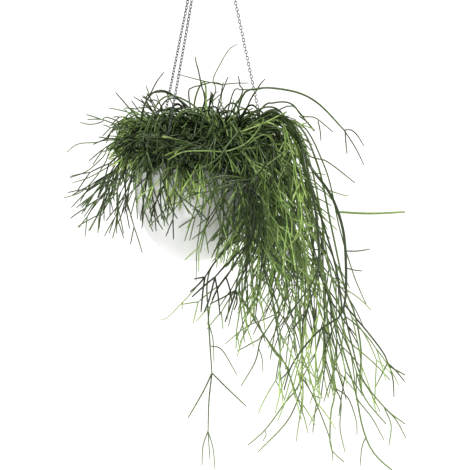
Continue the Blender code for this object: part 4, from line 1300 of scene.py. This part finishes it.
def grown(mains, rule, young, rng):
    """Main stems with forked pairs of limbs at their joints, and with ends that fork again and again."""
    layers = [mains]
    count = len(mains.paths)
    if rule.joints:
        spots = np.arange(rule.joints) + rng.uniform(*PAIR_PLACE, (count, rule.joints))
        shares = PAIRS_FROM + PAIRS_OVER * spots / rule.joints
        pairs = branch_layer(mains, shares, 2, rule, PAIR_STEPS[:2], young, rng)
        ends = np.ones((len(pairs.paths), 1))
        layers += [pairs, branch_layer(pairs, ends, 2, rule, PAIR_STEPS[1:], young, rng)]
    steps = np.linspace(0, 1, rule.orders + 1)
    parent, around = mains, rule.forks
    for step in zip(steps, steps[1:]):
        parent = branch_layer(parent, np.ones((len(parent.paths), 1)), around, rule, step, young, rng)
        layers.append(parent)
        around = 2
    return layers


def bunch_layers(bunch, crown, rng):
    """All layers of one bunch."""
    paths = main_stems(bunch, crown, rng)
    count = len(paths)
    old, young = bunch.youth
    start = np.clip(old + rng.normal(0, STEM_YOUTH, count), 0, 1)
    youth = np.stack([start, start + (young - old) * MAIN_YOUTH], axis=-1)
    tone = np.clip(rng.normal(bunch.tone, STEM_TONE, count), 0, 1)
    return grown(Layer(paths, MAIN_THICKNESS, youth, tone, MAIN_SIDES), bunch, young, rng)


def single_layers(single, crown, rng):
    """One stem of the photograph, with its limbs."""
    knots = [from_photo(*point) for point in single.points]
    if single.rooted:
        knots = [crown + rng.normal(0, CROWN_SPREAD / 4, 3) * (1, 1, 0)] + knots
    path = smooth_curve(knots, SINGLE_RINGS + KNOT_RINGS * len(knots))[None]
    thickness = (single.thickness, single.thickness * SINGLE_TAPER)
    stem = Layer(path, thickness, np.array([single.youth]), np.array([SINGLE_TONE]), MAIN_SIDES)
    rule = Bunch(1, (0, 0), (0, 0), (0, 0), single.joints, single.orders, single.limb)
    return grown(stem, rule, single.youth[1], rng)


def spray_surface(name, layers, finish):
    """All layers of a spray as round tubes that swell a little after their root and taper to a blunt tip.

    At the share t of its length a stem has its plain thickness times (1 - waist e^(-9 t)) times
    (1 - blunt t^14).
    """
    vertices, quads, triangles, youth, tone = [], [], [], [], []
    base = 0
    for layer in layers:
        count, rings = layer.paths.shape[:2]
        t = np.linspace(0, 1, rings)
        root, end = layer.thickness
        shape = (1 - WAIST[0] * np.exp(-t * WAIST[1])) * (1 - BLUNT[0] * t ** BLUNT[1])
        radii = np.broadcast_to((root + (end - root) * t) / THICKNESS_TO_RADIUS * shape, (count, rings))
        points, four, three = tubes(layer.paths, radii, layer.sides)
        vertices.append(points)
        quads.append(four + base)
        triangles.append(three + base)
        base += len(points)
        age = layer.youth[:, :1] + (layer.youth[:, 1:] - layer.youth[:, :1]) * t
        youth += [np.repeat(age, layer.sides, axis=1).ravel(), layer.youth[:, 0], layer.youth[:, 1]]
        tone += [np.repeat(layer.tone, rings * layer.sides), layer.tone, layer.tone]
    attributes = {"youth": np.concatenate(youth), "tone": np.concatenate(tone)}
    parts = (np.concatenate(part) for part in (vertices, quads, triangles))
    return surface("stems_" + name, *parts, finish, attributes)


def make_spray(name, seed, finish):
    """A spray of the plant: its bunches and its single stems, rooted at its crown."""
    rng = np.random.default_rng(seed)
    crown = crown_place(name)
    layers = [layer for bunch in BUNCHES[name] for layer in bunch_layers(bunch, crown, rng)]
    layers += [layer for single in SINGLES.get(name, []) for layer in single_layers(single, crown, rng)]
    return spray_surface(name, layers, finish)


# Light and camera


def white_horizon(tree, horizon, zenith):
    """White surroundings whose strength falls from the horizon to straight above and below."""
    place = add_node(tree, "ShaderNodeTexCoord")
    parts = add_node(tree, "ShaderNodeSeparateXYZ", inputs={"Vector": (place, "Generated")})
    lift = add_node(tree, "ShaderNodeMath", {"operation": "ABSOLUTE"}, {0: (parts, "Z")})
    fall = add_node(tree, "ShaderNodeMapRange", {"interpolation_type": "SMOOTHSTEP"}, {
        "Value": (lift, "Value"), "From Min": HORIZON_BAND[0], "From Max": HORIZON_BAND[1],
        "To Min": horizon, "To Max": zenith,
    })
    set_inputs(tree, tree.nodes["Background"], {"Color": (1, 1, 1, 1), "Strength": (fall, "Result")})


def soft_sun(name, place, angle, strength):
    """A broad sun that shines from a place towards the pot."""
    light = bpy.data.lights.new(name, "SUN")
    light.angle = angle
    light.energy = strength
    obj = bpy.data.objects.new(name, light)
    obj.location = place
    obj.rotation_euler = (Vector(AIM) - Vector(place)).to_track_quat("-Z", "Y").to_euler()
    bpy.context.scene.collection.objects.link(obj)


def photo_camera():
    """The camera at the photograph's angle, with a long lens that frames what the photograph frames."""
    place, right, up, forward = camera_axes()
    lens = bpy.data.cameras.new("camera")
    lens.sensor_width = SENSOR
    lens.lens = SENSOR * CAMERA_DISTANCE / VIEW_WIDTH
    lens.clip_end = FARTHEST
    camera = bpy.data.objects.new("camera", lens)
    camera.matrix_world = Matrix.Translation(place) @ Matrix((right, up, -forward)).transposed().to_4x4()
    bpy.context.scene.collection.objects.link(camera)
    return camera


# Settings


class PotSettings(bpy.types.PropertyGroup):
    """Sizes and colours of the pot and its soil."""

    pot_colour: bpy.props.StringProperty(
        name="Pot", description="sRGB hex colour of the moulded pot", default="#f0f1ef",
    )
    pot_shade: bpy.props.StringProperty(
        name="Pot's clouds", description="sRGB hex colour of the faint clouds in it", default="#eaebe9",
    )
    soil_dark: bpy.props.StringProperty(
        name="Soil between crumbs", description="sRGB hex colour of the shaded soil", default="#0b0705",
    )
    soil_light: bpy.props.StringProperty(
        name="Soil crumbs", description="sRGB hex colour of the lit crumbs", default="#33241a",
    )
    # painted shade and light on the chips: the dark sits in the bump's hollows and the light on its tops,
    # over the bark's own grain
    bark_grain_and_hollow_shade: bpy.props.StringProperty(
        name="Bark", description="sRGB hex colour of the chips' dark grain", default="#2a1a10",
    )
    bark_grain_and_lit_tops: bpy.props.StringProperty(
        name="Light bark", description="sRGB hex colour of the chips' light grain", default="#5d4530",
    )
    chips: bpy.props.IntProperty(
        name="Chips", description="How many bark and peat chips lie on the soil", default=420, min=0,
    )
    columns: bpy.props.IntProperty(
        name="Steps round", description="Steps of the pot and the soil round their axis", default=96, min=24,
    )


class ChainSettings(bpy.types.PropertyGroup):
    """Colours of the hook, the chains and the rim's hooks."""

    wire_bright: bpy.props.StringProperty(
        name="Bright wire", description="sRGB hex colour of the clean plating", default="#6f7276",
    )
    wire_dull: bpy.props.StringProperty(
        name="Dull wire", description="sRGB hex colour of the dulled patches", default="#3c3f43",
    )


class PlantSettings(bpy.types.PropertyGroup):
    """Colours and seed of the stems."""

    old: bpy.props.StringProperty(
        name="Old stems", description="sRGB hex colour of the oldest stems' skin", default="#1b2410",
    )
    mature: bpy.props.StringProperty(
        name="Mature stems", description="sRGB hex colour of full-grown stems", default="#46582e",
    )
    green: bpy.props.StringProperty(
        name="Fresh stems", description="sRGB hex colour of this season's stems", default="#758e48",
    )
    young: bpy.props.StringProperty(
        name="Young tips", description="sRGB hex colour of the growing tips", default="#b3ba6e",
    )
    seed: bpy.props.IntProperty(
        name="Seed", description="Seed of the stems' random draws", default=7, min=0,
    )


class StageSettings(bpy.types.PropertyGroup):
    """Floor and lights."""

    floor_drop: bpy.props.FloatProperty(
        name="Floor", description="From the hook down to the floor", default=1.65, unit="LENGTH",
    )
    floor_colour: bpy.props.StringProperty(
        name="Paper", description="sRGB hex colour of the floor", default="#ebebea",
    )
    horizon: bpy.props.FloatProperty(
        name="Horizon", description="Strength of the white surroundings at the horizon", default=1.0, min=0,
    )
    zenith: bpy.props.FloatProperty(
        name="Zenith", description="Their strength straight above and below", default=0.12, min=0,
    )
    sun_angle: bpy.props.FloatProperty(
        name="Sun's width", description="How broad the soft sun is", default=math.radians(18), min=0,
        subtype="ANGLE",
    )
    sun_strength: bpy.props.FloatProperty(
        name="Sun's strength", description="Strength of the soft sun", default=4.8, min=0,
    )


# Operators


FINISHES = {}


def finish_of(key, maker, *colours):
    """The material kept under a key, made at its first use."""
    if key not in FINISHES:
        FINISHES[key] = maker(*colours)
    return FINISHES[key]


def placed(obj, slot, *nodes):
    """The piece rides on the one body and stands for its nodes, which it hides; its slot is not used."""
    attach(obj, "root")
    if nodes:
        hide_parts(*nodes)


class PLANT_OT_pot(bpy.types.Operator):
    """Make the white bowl with the three holes for its hooks"""

    bl_idname = "plant.pot"
    bl_label = "Pot"

    def execute(self, context):
        settings = context.scene.plant_pot
        finish = finish_of("pot", moulded_polypropylene, settings.pot_colour, settings.pot_shade)
        placed(make_pot(settings.columns, finish), "pot", "hanging_pot")
        return {"FINISHED"}


class PLANT_OT_soil(bpy.types.Operator):
    """Make the lumpy soil and the chips that lie on it"""

    bl_idname = "plant.soil"
    bl_label = "Soil"

    def execute(self, context):
        settings = context.scene.plant_pot
        peat = finish_of("soil", peat_soil, "moist_peat_soil", settings.soil_dark, settings.soil_light)
        placed(make_soil(settings.columns, peat), "soil", "soil")
        bark = finish_of("chips", peat_soil, "shredded_bark", settings.bark_grain_and_hollow_shade, settings.bark_grain_and_lit_tops)
        placed(make_chips(settings.chips, np.random.default_rng(CHIP_SEED), bark), "soil")
        return {"FINISHED"}


class PLANT_OT_chains(bpy.types.Operator):
    """Make the hook, the three chains and the hooks in the rim"""

    bl_idname = "plant.chains"
    bl_label = "Hook and chains"

    def execute(self, context):
        settings = context.scene.plant_chains
        finish = finish_of("wire", zinc_plated_wire, settings.wire_bright, settings.wire_dull)
        placed(make_hook(finish), "steel", "hanger_hook")
        for name, angle in CHAIN_ANGLES.items():
            placed(make_chain(name, angle, finish), "steel", "chain_" + name)
            placed(make_rim_hook(name, angle, finish), "steel", "rim_hook_" + name)
        return {"FINISHED"}


class PLANT_OT_stems(bpy.types.Operator):
    """Make the ten sprays of trailing stems"""

    bl_idname = "plant.stems"
    bl_label = "Stems"

    def execute(self, context):
        settings = context.scene.plant_stems
        colours = (settings.old, settings.mature, settings.green, settings.young)
        finish = finish_of("stems", succulent_skin, *colours)
        for number, name in enumerate(SECTORS):
            placed(make_spray(name, settings.seed * 100 + number, finish), "stem", "spray_" + name)
        return {"FINISHED"}


class PLANT_OT_stage(bpy.types.Operator):
    """Lay the pale floor and set the lights and the camera"""

    bl_idname = "plant.stage"
    bl_label = "Stage"

    def execute(self, context):
        settings = context.scene.plant_stage
        corners = np.array([(-1, -1), (1, -1), (1, 1), (-1, 1)]) * FLOOR_REACH
        floor_points = np.column_stack([corners, np.full(4, -settings.floor_drop)])
        paper = finish_of("paper", matt_paper, settings.floor_colour)
        surface("studio_floor", floor_points, [(0, 1, 2, 3)], np.zeros((0, 3)), paper)
        world = context.scene.world or bpy.data.worlds.new("studio")
        context.scene.world = world
        world.use_nodes = True
        white_horizon(world.node_tree, settings.horizon, settings.zenith)
        soft_sun("key_sun", SUN_PLACE, settings.sun_angle, settings.sun_strength)
        context.scene.camera = photo_camera()
        context.scene.view_settings.view_transform = "Standard"
        return {"FINISHED"}


class PLANT_PT_panel(bpy.types.Panel):
    """The settings and operators of the hanging plant"""

    bl_idname = "PLANT_PT_panel"
    bl_label = "Hanging cactus"
    bl_space_type = "VIEW_3D"
    bl_region_type = "UI"
    bl_category = "Plant"

    def draw(self, context):
        for settings in GROUPS:
            group = getattr(context.scene, settings)
            for name in group.__annotations__:
                self.layout.prop(group, name)
        for operator in OPERATORS:
            self.layout.operator(operator.bl_idname)


OPERATORS = (PLANT_OT_pot, PLANT_OT_soil, PLANT_OT_chains, PLANT_OT_stems, PLANT_OT_stage)
GROUPS = {
    "plant_pot": PotSettings,
    "plant_chains": ChainSettings,
    "plant_stems": PlantSettings,
    "plant_stage": StageSettings,
}


def register():
    """Registers the groups of settings, the operators and the panel."""
    for name, group in GROUPS.items():
        bpy.utils.register_class(group)
        setattr(bpy.types.Scene, name, bpy.props.PointerProperty(type=group))
    for shown in (*OPERATORS, PLANT_PT_panel):
        bpy.utils.register_class(shown)


def unregister():
    """Takes out what register put in, in the opposite order."""
    for shown in (PLANT_PT_panel, *reversed(OPERATORS)):
        bpy.utils.unregister_class(shown)
    for name, group in reversed(GROUPS.items()):
        delattr(bpy.types.Scene, name)
        bpy.utils.unregister_class(group)


def main():
    """Clears Blender's start scene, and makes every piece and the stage."""
    for obj in list(bpy.data.objects):
        if obj.name in ("Cube", "Light", "Camera"):
            bpy.data.objects.remove(obj)
    register()
    bpy.ops.plant.pot()
    bpy.ops.plant.soil()
    bpy.ops.plant.chains()
    bpy.ops.plant.stems()
    bpy.ops.plant.stage()


if __name__ == "__main__":
    main()
